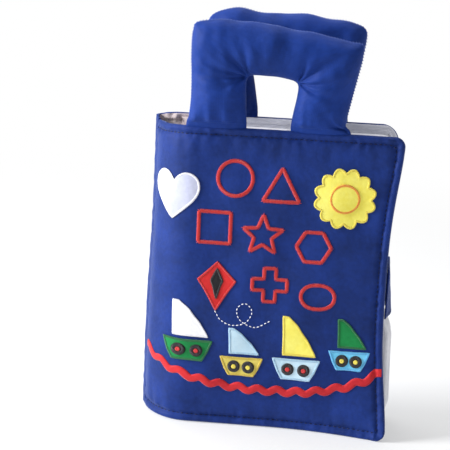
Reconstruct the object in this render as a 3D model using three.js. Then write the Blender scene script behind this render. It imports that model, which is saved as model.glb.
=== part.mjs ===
// A stuffed cloth activity book with two carrying handles, closed and standing on its lower edge.
// Millimetres, +Z up. The spine is towards -X, the fore-edge towards +X, the front cover faces -Y.
import * as THREE from 'three';
import { mergeVertices } from 'three/addons/utils/BufferGeometryUtils.js';

// Driving sizes of the book
const coverWidth = 220;
const coverHeight = 267;
const bookDepth = 54;
const coverPad = 6;
const liningThickness = 0.8;
const seatGap = 0.3;
const pageMargin = 5;
const pageTopMargin = 9;
const leafPad = 3.2;
const rootPad = 1.2;

// The seam along a cover's free edges: a puffed rim, a stitched groove, then the crowned field
const seamInset = 7;
const leafSeamInset = 6;
const seamShares = [0, 0.16, 0.5, 1, 1.6, 2.8];
const puffShares = [0.5, 0.74, 0.86, 0.5, 0.82, 1];
const pinchPowerShare = 2.3;

// The front cover's bent part, from the fold at the spine to the flat of the cover
const foldX = 4.5;
const foldDepth = 13;
const bendWidth = 44;
const coverRootPad = 3;
const coverRootLength = 20;
const foreEdgePinch = 8;
const backPinch = 5;
const cornerRadius = 9;
const cornerCurl = 18;
const curlHeight = 110;
const curlWidth = 110;

// The welt that all leaves are sewn to, and where the leaves lie in the closed book
const weltX = 15;
const weltDepth = 16;
const weltRadius = 3.2;
const weltWeb = 1.6;
const leafRootRadius = weltRadius + seatGap;
const leafBendWidth = 48;
const leafForeMargin = 6;
const leafForeEdge = coverWidth - leafForeMargin;
const fieldWidth = leafForeEdge - leafBendWidth;
const fieldMiddleShare = 0.432;
const fieldX = leafBendWidth + fieldWidth * fieldMiddleShare;
const leafDepths = [38.4, 28.4, 17.2, 10.4];
const leafRootAngles = [-64, -36, -8, 22];
const leafColours = [0xe9e9ee, 0xe4e5ec, 0xe9e9ee, 0xe4e5ec];

// Handles: stuffed arches sewn into the top edge of each cover
const handleWidth = 152;
const handleRise = 97;
const handleThickness = 27;
const frontHandleX = 99;
const backHandleX = 107;

// The closing strap at the fore-edge
const strapBottom = 105;
const strapHeight = 45;
const strapThickness = 1.8;
const strapTabWidth = 16;
const hookPatchWidth = 5;
const patchThickness = 1.1;
const closeGap = 0.4;

const colour = {
  coverBlue: 0x24408e,
  lining: 0xdfe0e8,
  handleBlue: 0x264499,
  rickrackRed: 0xc8201e,
  yellow: 0xf5ea5a,
  lilac: 0xc9ccde,
  white: 0xf2f3f6,
  paleBlue: 0xc4dff0,
  skyBlue: 0x6cc6ee,
  sandYellow: 0xd9c552,
  green: 0x0c7a3a,
  black: 0x1a181c,
  metal: 0xc9c9cc,
};

function cloth(hex, roughness = 0.85) {
  return new THREE.MeshStandardMaterial({ color: hex, roughness, metalness: 0 });
}

const book = new THREE.Group();

function addMesh(name, geometry, material, parent = book) {
  const mesh = new THREE.Mesh(geometry, material);
  mesh.name = name;
  parent.add(mesh);
  return mesh;
}

// Turns faces and points into a closed geometry with its faces pointing out
function solidFrom(points, faces) {
  let volume = 0;
  for (const [a, b, c] of faces) {
    volume += points[a].dot(points[b].clone().cross(points[c]));
  }
  const turned = volume < 0 ? faces.map(([a, b, c]) => [a, c, b]) : faces;
  const geometry = new THREE.BufferGeometry();
  geometry.setAttribute('position', new THREE.Float32BufferAttribute(points.flatMap((p) => p.toArray()), 3));
  geometry.setIndex(turned.flat());
  geometry.computeVertexNormals();
  return geometry;
}

// A shell between two grids of points that share their rows and columns
function shellBetween(outer, inner) {
  const columns = outer.length;
  const rows = outer[0].length;
  const points = [...outer.flat(), ...inner.flat()];
  const far = columns * rows;
  const at = (side, i, j) => side * far + i * rows + j;
  const faces = [];
  const quad = (a, b, c, d) => faces.push([a, b, c], [a, c, d]);
  for (let i = 0; i + 1 < columns; i += 1) {
    for (let j = 0; j + 1 < rows; j += 1) {
      quad(at(0, i, j), at(0, i + 1, j), at(0, i + 1, j + 1), at(0, i, j + 1));
      quad(at(1, i, j), at(1, i, j + 1), at(1, i + 1, j + 1), at(1, i + 1, j));
    }
    quad(at(0, i, 0), at(1, i, 0), at(1, i + 1, 0), at(0, i + 1, 0));
    quad(at(0, i, rows - 1), at(0, i + 1, rows - 1), at(1, i + 1, rows - 1), at(1, i, rows - 1));
  }
  for (let j = 0; j + 1 < rows; j += 1) {
    quad(at(0, 0, j), at(0, 0, j + 1), at(1, 0, j + 1), at(1, 0, j));
    quad(at(0, columns - 1, j), at(1, columns - 1, j), at(1, columns - 1, j + 1), at(0, columns - 1, j + 1));
  }
  return solidFrom(points, faces);
}

function lerpTable(x, xs, ys) {
  for (let i = 1; i < xs.length; i += 1) {
    if (x <= xs[i]) {
      const share = (x - xs[i - 1]) / (xs[i] - xs[i - 1]);
      return ys[i - 1] + share * (ys[i] - ys[i - 1]);
    }
  }
  return ys[ys.length - 1];
}

// Distances from 0 to a length: close together at the seams, and evenly spaced between them
function stations(length, startList, endList, steps) {
  const start = startList[startList.length - 1];
  const end = length - endList[endList.length - 1];
  const middle = Array.from({ length: steps - 1 }, (_, i) => start + ((end - start) * (i + 1)) / steps);
  return [...startList, ...middle, ...endList.map((d) => length - d).reverse()];
}

// An upright sheet over a curve in plan, which carries the panels and all that is sewn on them
function makeSheet({ curves, bottom, top, pinch = 0, corner = 0, curl = 0 }) {
  const path = new THREE.CurvePath();
  curves.forEach((curve) => path.add(curve));
  const length = path.getLength();
  const height = top - bottom;
  const end = (z) => {
    const middleness = Math.abs((2 * (z - bottom)) / height - 1);
    const drawnIn = pinch * (1 - middleness ** 3) ** pinchPowerShare;
    const near = Math.min(z - bottom, top - z);
    const rise = Math.max(corner - near, 0);
    return length - drawnIn - (corner - Math.sqrt(corner ** 2 - rise ** 2));
  };
  const curlAt = (s, z) => {
    const across = Math.max((s - length + curlWidth) / curlWidth, 0);
    const down = Math.max(1 - (z - bottom) / curlHeight, 0);
    return curl * across ** 2 * down ** 2;
  };
  const point = (s, z, offset) => {
    const share = Math.min(Math.max(s / length, 0), 1);
    const p = path.getPointAt(share);
    const t = path.getTangentAt(share);
    const past = s - share * length;
    const x = p.x + t.x * past + t.y * offset;
    const y = p.y + t.y * past - t.x * offset - curlAt(s, z);
    return new THREE.Vector3(x, y, z);
  };
  return { length, bottom, top, end, point };
}

// Half the thickness of a stuffed panel: its rim, seam and crown, and its flat root at the spine
function padding(sheet, { pad, seam, rootLength, root }) {
  const xs = seamShares.map((share) => share * seam);
  const ys = puffShares.map((share) => (share * pad) / 2);
  return (s, z) => {
    const fore = sheet.end(z) - s;
    const crown = lerpTable(Math.max(Math.min(fore, z - sheet.bottom, sheet.top - z), 0), xs, ys);
    const grown = Math.min(Math.max(s / rootLength, 0), 1);
    const ease = grown * grown * (3 - 2 * grown);
    return Math.min(crown, root / 2 + (ease * (pad - root)) / 2);
  };
}

// A panel whose two faces lie at the given offsets from its sheet
function panel(sheet, columns, rows, outer, inner) {
  const grid = (offset) => columns.map((s) => rows.map((z) => {
    const shift = (sheet.length - sheet.end(z)) * (s / sheet.length) ** 4;
    return sheet.point(s - shift, z, offset(s - shift, z));
  }));
  return shellBetween(grid(outer), grid(inner));
}

// A flat cloth shape sewn on a sheet: rings of its outline, from the middle out, on both faces
function patch(sheet, s0, z0, outline, rings, base, thickness) {
  const count = outline.length;
  const points = [];
  const faces = [];
  for (const height of [0, thickness]) {
    points.push(sheet.point(s0, z0, base(s0, z0) + height));
    for (let k = 1; k <= rings; k += 1) {
      for (const [ds, dz] of outline) {
        const s = s0 + (ds * k) / rings;
        const z = z0 + (dz * k) / rings;
        points.push(sheet.point(s, z, base(s, z) + height));
      }
    }
  }
  const face = points.length / 2;
  const at = (side, k, i) => side * face + 1 + (k - 1) * count + (i % count);
  const quad = (a, b, c, d) => faces.push([a, b, c], [a, c, d]);
  for (let i = 0; i < count; i += 1) {
    faces.push([0, at(0, 1, i), at(0, 1, i + 1)], [face, at(1, 1, i + 1), at(1, 1, i)]);
    for (let k = 1; k < rings; k += 1) {
      quad(at(0, k, i), at(0, k + 1, i), at(0, k + 1, i + 1), at(0, k, i + 1));
      quad(at(1, k, i), at(1, k, i + 1), at(1, k + 1, i + 1), at(1, k + 1, i));
    }
    quad(at(0, rings, i), at(1, rings, i), at(1, rings, i + 1), at(0, rings, i + 1));
  }
  return solidFrom(points, faces);
}

// Outlines about their own middle, as [along, up] pairs
function ringOutline(count, radius) {
  return Array.from({ length: count }, (_, i) => {
    const turn = (2 * Math.PI * i) / count;
    const r = typeof radius === 'function' ? radius(turn) : radius;
    return [r * Math.cos(turn), r * Math.sin(turn)];
  });
}

// The points of an outline in shares of its width and height, with long sides split into steps
function shapeOutline(shares, width, height, step = width) {
  const corners = shares.map(([along, up]) => [along * width, up * height]);
  return corners.flatMap(([x, z], i) => {
    const [nextX, nextZ] = corners[(i + 1) % corners.length];
    const parts = Math.max(Math.ceil(Math.hypot(nextX - x, nextZ - z) / step), 1);
    return Array.from({ length: parts }, (_, k) => {
      const share = k / parts;
      return [x + (nextX - x) * share, z + (nextZ - z) * share];
    });
  });
}

// Turns a piece drawn flat so that its own axes lie along the given ones
function layAlong(mesh, x, y, z) {
  mesh.quaternion.setFromRotationMatrix(new THREE.Matrix4().makeBasis(x, y, z));
}
const alongX = new THREE.Vector3(1, 0, 0);
const forwards = new THREE.Vector3(0, -1, 0);
const upwards = new THREE.Vector3(0, 0, 1);

const bottomFlat = 0;
const coverSeams = seamShares.map((share) => share * seamInset);
const coverRows = stations(coverHeight, coverSeams, coverSeams, 9);
const leafHeight = coverHeight - pageMargin - pageTopMargin;
const leafSeams = seamShares.map((share) => share * leafSeamInset);
const leafRows = stations(leafHeight, leafSeams, leafSeams, 5).map((z) => z + pageMargin);
const v2 = (x, y) => new THREE.Vector2(x, y);

// Front cover: a stuffed panel that runs from the fold, round the bend, to the fore-edge
const frontMiddle = bookDepth - coverPad / 2;
const frontSheet = makeSheet({
  curves: [
    new THREE.CubicBezierCurve(
      v2(foldX + coverRootPad / 2, -foldDepth),
      v2(foldX * 2, -bookDepth / 2),
      v2(bendWidth / 2, -frontMiddle),
      v2(bendWidth, -frontMiddle),
    ),
    new THREE.LineCurve(v2(bendWidth, -frontMiddle), v2(coverWidth, -frontMiddle)),
  ],
  bottom: bottomFlat,
  top: coverHeight,
  pinch: foreEdgePinch,
  corner: cornerRadius,
  curl: cornerCurl,
});
const frontHalf = padding(frontSheet, {
  pad: coverPad, seam: seamInset, rootLength: coverRootLength, root: coverRootPad,
});
const bendLength = frontSheet.length - (coverWidth - bendWidth);
const bendSteps = 9;
const bendStations = Array.from({ length: bendSteps + 1 }, (_, i) => (bendLength * i) / bendSteps);
const frontColumns = stations(frontSheet.length, bendStations, coverSeams, 9);
addMesh(
  'front_cover',
  panel(frontSheet, frontColumns, coverRows, frontHalf, (s, z) => -frontHalf(s, z)),
  cloth(colour.coverBlue),
);

// Linings: the white cloth on the inner face of each cover, inside the rim
const liningInset = seamInset / 2;
const liningRows = coverRows.filter((z) => z >= liningInset && z <= coverHeight - liningInset);
const withinLining = (sheet) => (s) => s >= coverRootLength && s <= sheet.length - liningInset;
const frontLiningColumns = frontColumns.filter(withinLining(frontSheet));
addMesh(
  'front_lining',
  panel(frontSheet, frontLiningColumns, liningRows,
    (s, z) => -frontHalf(s, z) - seatGap,
    (s, z) => -frontHalf(s, z) - seatGap - liningThickness),
  cloth(colour.lining, 0.9),
);

// Back cover: a flat stuffed panel
const backMiddle = coverPad / 2;
const backStart = foldX;
const backSheet = makeSheet({
  curves: [new THREE.LineCurve(v2(backStart, -backMiddle), v2(coverWidth, -backMiddle))],
  bottom: bottomFlat,
  top: coverHeight,
  pinch: backPinch,
  corner: cornerRadius,
});
const backHalf = padding(backSheet, {
  pad: coverPad, seam: seamInset, rootLength: coverRootLength, root: coverRootPad,
});
const backRoot = [0, coverRootLength / 2, coverRootLength];
const backColumns = stations(backSheet.length, backRoot, coverSeams, 6);
addMesh(
  'back_cover',
  panel(backSheet, backColumns, coverRows, backHalf, (s, z) => -backHalf(s, z)),
  cloth(colour.coverBlue),
);
const backLiningColumns = backColumns.filter(withinLining(backSheet));
addMesh(
  'back_lining',
  panel(backSheet, backLiningColumns, liningRows,
    (s, z) => backHalf(s, z) + seatGap + liningThickness,
    (s, z) => backHalf(s, z) + seatGap),
  cloth(colour.lining, 0.9),
);

// Spine fold: the narrow band of cover cloth that joins the two covers
const foldPad = 2.6;
const coverRootTangent = frontSheet.point(1, 0, 0).sub(frontSheet.point(0, 0, 0)).normalize();
const foldEnd = v2(foldX + coverRootPad / 2, -foldDepth).addScaledVector(coverRootTangent, -seatGap);
const foldSheet = makeSheet({
  curves: [
    new THREE.QuadraticBezierCurve(
      v2(foldPad / 2, -foldPad / 2),
      foldEnd.clone().addScaledVector(coverRootTangent, -foldDepth / 2),
      foldEnd,
    ),
  ],
  bottom: bottomFlat,
  top: coverHeight,
});
const foldHalf = () => foldPad / 2;
const foldSteps = 4;
const foldColumns = Array.from({ length: foldSteps + 1 }, (_, i) => (foldSheet.length * i) / foldSteps);
addMesh(
  'spine_fold',
  panel(foldSheet, foldColumns, [bottomFlat, coverHeight], foldHalf, () => -foldPad / 2),
  cloth(colour.coverBlue),
);

// Sewn welt: a round cord of cloth on a web, fast to the back cover, that all leaves hinge on
function makeWelt() {
  const half = weltWeb / 2;
  const backFace = backMiddle + backHalf(weltX + half - backStart, coverHeight / 2);
  const reach = weltDepth - backFace - seatGap;
  const start = Math.asin(half / weltRadius);
  const roundSteps = 14;
  const shape = new THREE.Shape();
  shape.moveTo(half, reach);
  for (let i = 0; i <= roundSteps; i += 1) {
    const turn = start + ((2 * Math.PI - 2 * start) * i) / roundSteps;
    shape.lineTo(weltRadius * Math.sin(turn), weltRadius * Math.cos(turn));
  }
  shape.lineTo(-half, reach);
  return new THREE.ExtrudeGeometry(shape, { depth: leafHeight, bevelEnabled: false });
}
const welt = addMesh('leaf_welt', makeWelt(), cloth(colour.lining, 0.9));
welt.position.set(weltX, -weltDepth, pageMargin);

// Leaves: stuffed cloth pages that fan out from the welt and lie flat towards the fore-edge
function makeLeafSheet(depth, degrees) {
  const angle = THREE.MathUtils.degToRad(degrees);
  const out = v2(Math.cos(angle), Math.sin(angle));
  const root = v2(weltX, -weltDepth).addScaledVector(out, leafRootRadius);
  const bend = v2(leafBendWidth, -depth);
  const reach = (leafBendWidth - weltX) / 3;
  const rootPull = root.clone().addScaledVector(out, reach);
  return makeSheet({
    curves: [
      new THREE.CubicBezierCurve(root, rootPull, v2(leafBendWidth - reach, -depth), bend),
      new THREE.LineCurve(bend, v2(leafForeEdge, -depth)),
    ],
    bottom: pageMargin,
    top: coverHeight - pageTopMargin,
    corner: cornerRadius,
  });
}
const leafRootLength = 24;
const leaves = leafDepths.map((depth, i) => {
  const sheet = makeLeafSheet(depth, leafRootAngles[i]);
  const half = padding(sheet, {
    pad: leafPad, seam: leafSeamInset, rootLength: leafRootLength, root: rootPad,
  });
  const leafBend = sheet.length - (leafForeEdge - leafBendWidth);
  const steps = 6;
  const bend = Array.from({ length: steps + 1 }, (_, j) => (leafBend * j) / steps);
  const columns = stations(sheet.length, bend, leafSeams, 4);
  const leaf = panel(sheet, columns, leafRows, half, (s, z) => -half(s, z));
  addMesh(`leaf_${i + 1}`, leaf, cloth(leafColours[i], 0.9));
  return { sheet, half, flat: (x) => leafBend + x - leafBendWidth };
});

// Handles: rings between an inner and an outer edge that run up one leg, across and down the other.
// Each row holds the inner point, the outer point and the thickness, as shares of the handle's sizes.
const frontHandleShares = [
  [-0.093, 0, -0.43, 0, 0.02],
  [-0.093, 0.005, -0.43, 0.005, 0.085],
  [-0.093, 0.016, -0.429, 0.016, 0.12],
  [-0.093, 0.035, -0.427, 0.035, 0.145],
  [-0.094, 0.052, -0.423, 0.052, 0.38],
  [-0.096, 0.09, -0.417, 0.095, 0.72],
  [-0.1, 0.2, -0.41, 0.24, 0.94],
  [-0.104, 0.31, -0.415, 0.44, 1],
  [-0.106, 0.39, -0.424, 0.63, 1],
  [-0.1, 0.43, -0.42, 0.81, 0.96],
  [-0.085, 0.452, -0.38, 0.9, 0.96],
  [-0.05, 0.46, -0.22, 0.94, 1],
  [0.02, 0.46, 0, 0.922, 1],
  [0.085, 0.458, 0.18, 0.89, 1],
  [0.135, 0.452, 0.37, 0.846, 0.96],
  [0.165, 0.435, 0.5, 0.8, 0.94],
  [0.182, 0.395, 0.522, 0.7, 0.98],
  [0.178, 0.3, 0.498, 0.53, 1],
  [0.165, 0.185, 0.467, 0.31, 0.94],
  [0.156, 0.09, 0.452, 0.095, 0.72],
  [0.154, 0.052, 0.459, 0.052, 0.38],
  [0.153, 0.035, 0.463, 0.035, 0.145],
  [0.153, 0.016, 0.465, 0.016, 0.12],
  [0.153, 0.005, 0.465, 0.005, 0.085],
  [0.153, 0, 0.465, 0, 0.02],
];
const backHandleShares = [
  [-0.105, 0, -0.44, 0, 0.02],
  [-0.105, 0.005, -0.44, 0.005, 0.085],
  [-0.105, 0.016, -0.439, 0.016, 0.12],
  [-0.105, 0.035, -0.437, 0.035, 0.145],
  [-0.106, 0.052, -0.433, 0.052, 0.38],
  [-0.108, 0.09, -0.425, 0.095, 0.72],
  [-0.114, 0.2, -0.415, 0.25, 0.94],
  [-0.12, 0.33, -0.42, 0.46, 1],
  [-0.123, 0.43, -0.43, 0.67, 1],
  [-0.12, 0.475, -0.425, 0.86, 0.96],
  [-0.108, 0.5, -0.375, 0.955, 0.96],
  [-0.075, 0.51, -0.22, 1, 1],
  [0, 0.512, -0.02, 0.98, 1],
  [0.078, 0.508, 0.17, 0.96, 1],
  [0.13, 0.5, 0.35, 0.93, 0.96],
  [0.158, 0.47, 0.475, 0.88, 0.94],
  [0.166, 0.42, 0.505, 0.76, 0.98],
  [0.158, 0.31, 0.48, 0.55, 1],
  [0.145, 0.19, 0.447, 0.31, 0.94],
  [0.135, 0.09, 0.43, 0.095, 0.72],
  [0.133, 0.052, 0.434, 0.052, 0.38],
  [0.132, 0.035, 0.436, 0.035, 0.145],
  [0.132, 0.016, 0.438, 0.016, 0.12],
  [0.132, 0.005, 0.438, 0.005, 0.085],
  [0.132, 0, 0.438, 0, 0.02],
];
const handleRingSides = 12;
const handleSquareness = 0.8;

function makeHandle(handleShares) {
  const points = [];
  const faces = [];
  const count = handleShares.length;
  for (const [innerX, innerZ, outerX, outerZ, thick] of handleShares) {
    const inner = new THREE.Vector3(innerX * handleWidth, 0, innerZ * handleRise);
    const outer = new THREE.Vector3(outerX * handleWidth, 0, outerZ * handleRise);
    const centre = inner.clone().add(outer).multiplyScalar(0.5);
    const arm = outer.clone().sub(centre);
    for (let k = 0; k < handleRingSides; k += 1) {
      const turn = (2 * Math.PI * k) / handleRingSides;
      const along = Math.sign(Math.cos(turn)) * Math.abs(Math.cos(turn)) ** handleSquareness;
      const across = Math.sign(Math.sin(turn)) * Math.abs(Math.sin(turn)) ** handleSquareness;
      const p = centre.clone().addScaledVector(arm, along);
      p.y = (across * thick * handleThickness) / 2;
      points.push(p);
    }
  }
  const at = (i, k) => i * handleRingSides + (k % handleRingSides);
  for (let i = 0; i + 1 < count; i += 1) {
    for (let k = 0; k < handleRingSides; k += 1) {
      faces.push([at(i, k), at(i, k + 1), at(i + 1, k + 1)], [at(i, k), at(i + 1, k + 1), at(i + 1, k)]);
    }
  }
  for (let k = 1; k + 1 < handleRingSides; k += 1) {
    faces.push([at(0, 0), at(0, k + 1), at(0, k)]);
    faces.push([at(count - 1, 0), at(count - 1, k), at(count - 1, k + 1)]);
  }
  return solidFrom(points, faces);
}
const frontHandle = addMesh('front_handle', makeHandle(frontHandleShares), cloth(colour.handleBlue));
frontHandle.position.set(frontHandleX, -frontMiddle, coverHeight + seatGap);
const backHandle = addMesh('back_handle', makeHandle(backHandleShares), cloth(colour.handleBlue));
backHandle.position.set(backHandleX, -backMiddle, coverHeight + seatGap);

// Closing strap: sewn inside the front cover's fore-edge, it reaches back round the leaves' edges.
// Its bulge clears the leaves, and its end presses on a patch on the back cover's rim.
const strapMiddle = strapBottom + strapHeight / 2;
const frontEdgeX = coverWidth - (frontSheet.length - frontSheet.end(strapMiddle));
const backEdgeX = coverWidth - (backSheet.length - backSheet.end(strapMiddle));
const innerFace = frontMiddle - coverPad / 2 - seatGap - liningThickness;
const strapPivotX = frontEdgeX + strapThickness / 2 + closeGap;
const strapFoldGap = strapThickness / 2 + closeGap;
const strapPivotDepth = innerFace - seatGap - strapThickness / 2;
const strapBulge = leafForeEdge + strapThickness + closeGap;
const loopX = backEdgeX + seatGap + patchThickness / 2;
const hookX = loopX + patchThickness + closeGap;
const strapEndX = hookX + patchThickness / 2 + seatGap + strapThickness / 2;
const strapSheet = makeSheet({
  curves: [
    new THREE.CubicBezierCurve(
      v2(strapPivotX, -strapPivotDepth),
      v2(strapBulge, -strapPivotDepth + strapThickness / 2),
      v2(strapEndX, -bookDepth / 2),
      v2(strapEndX, 0),
    ),
  ],
  bottom: strapBottom,
  top: strapBottom + strapHeight,
});
const strapHalf = strapThickness / 2;
const strapSteps = 10;
const strapColumns = Array.from({ length: strapSteps + 1 }, (_, i) => (strapSheet.length * i) / strapSteps);
const strapRows = [strapBottom, strapMiddle, strapBottom + strapHeight];
addMesh(
  'closure_strap',
  panel(strapSheet, strapColumns, strapRows, () => strapHalf, () => -strapHalf),
  cloth(colour.coverBlue),
);

// The strap's sewn end lies flat on the front lining
const anchorSheet = makeSheet({
  curves: [
    new THREE.LineCurve(
      v2(strapPivotX - strapFoldGap - strapTabWidth, -strapPivotDepth),
      v2(strapPivotX - strapFoldGap, -strapPivotDepth),
    ),
  ],
  bottom: strapBottom,
  top: strapBottom + strapHeight,
});
const anchorColumns = [0, strapTabWidth / 2, strapTabWidth];
addMesh(
  'strap_anchor',
  panel(anchorSheet, anchorColumns, strapRows, () => strapHalf, () => -strapHalf),
  cloth(colour.coverBlue),
);

// Hook and loop patches, one on the strap's end and one on the back cover's rim
const patchInset = strapThickness;
const hookRows = [strapBottom + patchInset, strapMiddle, strapBottom + strapHeight - patchInset];
const hookStart = strapSheet.length - hookPatchWidth - closeGap;
addMesh(
  'hook_patch',
  panel(strapSheet, [hookStart, hookStart + hookPatchWidth / 2, hookStart + hookPatchWidth], hookRows,
    () => -strapHalf - seatGap, () => -strapHalf - seatGap - patchThickness),
  cloth(colour.black, 0.95),
);
const loopPatch = addMesh(
  'loop_patch',
  new THREE.BoxGeometry(patchThickness, hookPatchWidth / 2, strapHeight - 2 * patchInset),
  cloth(colour.black, 0.95),
);
loopPatch.position.set(loopX, -backMiddle, strapMiddle);

// Cover picture: cloth shapes sewn on the front cover, placed by distance from the fold and height
const coverFace = (s, z) => frontHalf(s, z) + closeGap;
const onCover = (x) => bendLength + x - bendWidth;

function coverPatch(name, x, z, outline, hex, rings = 1, lift = 0) {
  const base = (s, h) => coverFace(s, h) + lift * (patchThickness + seatGap);
  addMesh(name, patch(frontSheet, onCover(x), z, outline, rings, base, patchThickness), cloth(hex, 0.8));
}

// A yellow flower with rounded petals and a raised middle
const flowerX = 172;
const flowerTopMargin = 55;
const flowerZ = coverHeight - flowerTopMargin;
const flowerRadius = 27;
const petalDepth = 4.5;
const petals = 12;
const flowerMiddleRadius = 13;
const petalEdge = (turn) => flowerRadius - petalDepth * (1 - Math.abs(Math.sin((turn * petals) / 2)));
coverPatch('flower', flowerX, flowerZ, ringOutline(petals * 4, petalEdge), colour.yellow);
coverPatch('flower_middle', flowerX, flowerZ, ringOutline(20, flowerMiddleRadius), colour.yellow, 1, 1);

// A lilac heart on the bend of the cover
const heartX = 26;
const heartTopMargin = 62;
const heartZ = coverHeight - heartTopMargin;
const heartWidth = 44;
const heartHeight = 42;
const heartShares = [
  [0, 0.3], [0.1, 0.43], [0.24, 0.5], [0.38, 0.46], [0.48, 0.33], [0.5, 0.16], [0.44, 0],
  [0.34, -0.15], [0.22, -0.29], [0.1, -0.41], [0, -0.5],
];
const heartHalf = shapeOutline(heartShares, heartWidth, heartHeight);
const heartOutline = [...heartHalf, ...heartHalf.slice(1, -1).map(([along, up]) => [-along, up]).reverse()];
coverPatch('heart', heartX, heartZ, heartOutline, colour.lilac, 4);

// A kite of two cloths, with its crossing band
const kiteX = 66;
const kiteZ = 128;
const kiteWidth = 34;
const kiteHeight = 44;
const kiteShares = [[0, 0.5], [0.5, 0.12], [0, -0.5], [-0.5, 0.12]];
const kiteBandShares = [[0, 0.36], [0.16, 0.12], [0, -0.26], [-0.16, 0.12]];
const kiteOutline = shapeOutline(kiteShares, kiteWidth, kiteHeight);
const kiteBandOutline = shapeOutline(kiteBandShares, kiteWidth, kiteHeight);
coverPatch('kite', kiteX, kiteZ, kiteOutline, colour.rickrackRed);
coverPatch('kite_middle', kiteX, kiteZ, kiteBandOutline, colour.black, 1, 1);

// A row of boats on the braid: each has a hull, a sail and two portholes
const sailWidthShare = 0.8;
const portholeSpacingShare = 1 / 3;
const hullShares = [[-0.5, 0.5], [0.5, 0.5], [0.4, -0.1], [0.3, -0.5], [-0.3, -0.5], [-0.4, -0.1]];
const sailShares = [[-0.36, -0.5], [0.5, -0.5], [0.28, -0.1], [-0.02, 0.3], [-0.26, 0.5], [-0.4, 0.5]];
const portholeRadius = 5.5;
const sailSpacing = 3;
const boatWidth = 42;
const hullHeight = 19;
const sailHeight = 36;
// Each boat: how far along and up the cover, then the shares of its width, hull and sail
const boatShares = {
  green: [0.199, 0.2544, 1, 1, 0.89],
  sand: [0.412, 0.21, 0.905, 0.895, 0.667],
  pale: [0.63, 0.2135, 1, 1, 1],
  sky: [0.838, 0.2547, 0.857, 0.895, 0.722],
};
const boatCloths = {
  green: [colour.green, colour.white],
  sand: [colour.sandYellow, colour.paleBlue],
  pale: [colour.paleBlue, colour.yellow],
  sky: [colour.skyBlue, colour.green],
};
const bentStep = 6;
for (const [name, shares] of Object.entries(boatShares)) {
  const [alongShare, upShare, widthShare, hullShare, sailShare] = shares;
  const x = alongShare * coverWidth;
  const z = upShare * coverHeight;
  const width = widthShare * boatWidth;
  const height = hullShare * hullHeight;
  const sail = sailShare * sailHeight;
  const [hullColour, sailColour] = boatCloths[name];
  const bent = x - width / 2 < bendWidth || x + width / 2 > coverWidth - curlWidth / 2;
  const step = bent ? bentStep : width;
  const rings = bent ? 4 : 1;
  coverPatch(`hull_${name}`, x, z, shapeOutline(hullShares, width, height, step), hullColour, rings);
  const sailZ = z + (height + sail) / 2 + sailSpacing;
  const sailOutline = shapeOutline(sailShares, width * sailWidthShare, sail, step);
  coverPatch(`sail_${name}`, x, sailZ, sailOutline, sailColour, rings);
  for (const side of [-1, 1]) {
    const label = side < 0 ? 'a' : 'b';
    coverPatch(`porthole_${name}_${label}`, x + (side * width * portholeSpacingShare) / 2, z,
      ringOutline(10, portholeRadius), colour.black, 1, 1);
  }
}

// Waved braid across the cover, in a shallow smile
const braidBase = 35.5;
const braidRiseLeft = 27;
const braidRiseRight = 25;
const braidPowerLeft = 2;
const braidPowerRight = 3;
const braidPitch = 17;
const braidSwing = 1.8;
const braidWidth = 6.8;
const braidThickness = 1;
const braidMiddleX = 105;
const braidStartX = 0;
const stepsPerWave = 8;
const braidLift = 0.15;

function makeBraid() {
  const start = onCover(braidStartX);
  const end = frontSheet.end(braidBase + braidRiseRight) - seamShares[1] * seamInset;
  const middle = onCover(braidMiddleX);
  const steps = Math.round(((end - start) / braidPitch) * stepsPerWave);
  const columns = Array.from({ length: steps + 1 }, (_, i) => start + ((end - start) * i) / steps);
  const centre = (s) => {
    const t = (s - middle) / (s < middle ? middle - start : end - middle);
    const rise = t < 0 ? braidRiseLeft * (-t) ** braidPowerLeft : braidRiseRight * t ** braidPowerRight;
    return braidBase + rise + braidSwing * Math.sin((2 * Math.PI * (s - start)) / braidPitch);
  };
  const grid = (lift) => columns.map((s) => [-1, 1].map((side) => {
    const z = centre(s) + (side * braidWidth) / 2;
    return frontSheet.point(s, z, coverFace(s, z) + braidLift + lift);
  }));
  return shellBetween(grid(braidThickness), grid(0));
}
addMesh('rickrack_braid', makeBraid(), cloth(colour.rickrackRed, 0.7));

// Leaf 1 carries a clock with two hands that turn on a stud
const [clockLeaf, zipLeaf, beadLeaf, shapeLeaf] = leaves;
const clockX = fieldX;
const clockZ = 138;
const clockMargin = 19;
const clockRadius = fieldWidth / 2 - clockMargin;
const clockThickness = 1;
const handThickness = 0.8;
const handGap = 0.3;
const studRadius = 1.5;
const studHeadRadius = 4;
const studHead = 0.9;
const studDomeShare = 0.8;
const handHubShare = 1.1;
const handSlack = 0.3;
const clockFace = clockLeaf.half(clockLeaf.flat(clockX), clockZ) + seatGap;
const clockDepth = leafDepths[0];
const dialOutline = ringOutline(32, clockRadius);
addMesh(
  'clock_dial',
  patch(clockLeaf.sheet, clockLeaf.flat(clockX), clockZ, dialOutline, 1, () => clockFace, clockThickness),
  cloth(colour.yellow),
);

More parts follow.
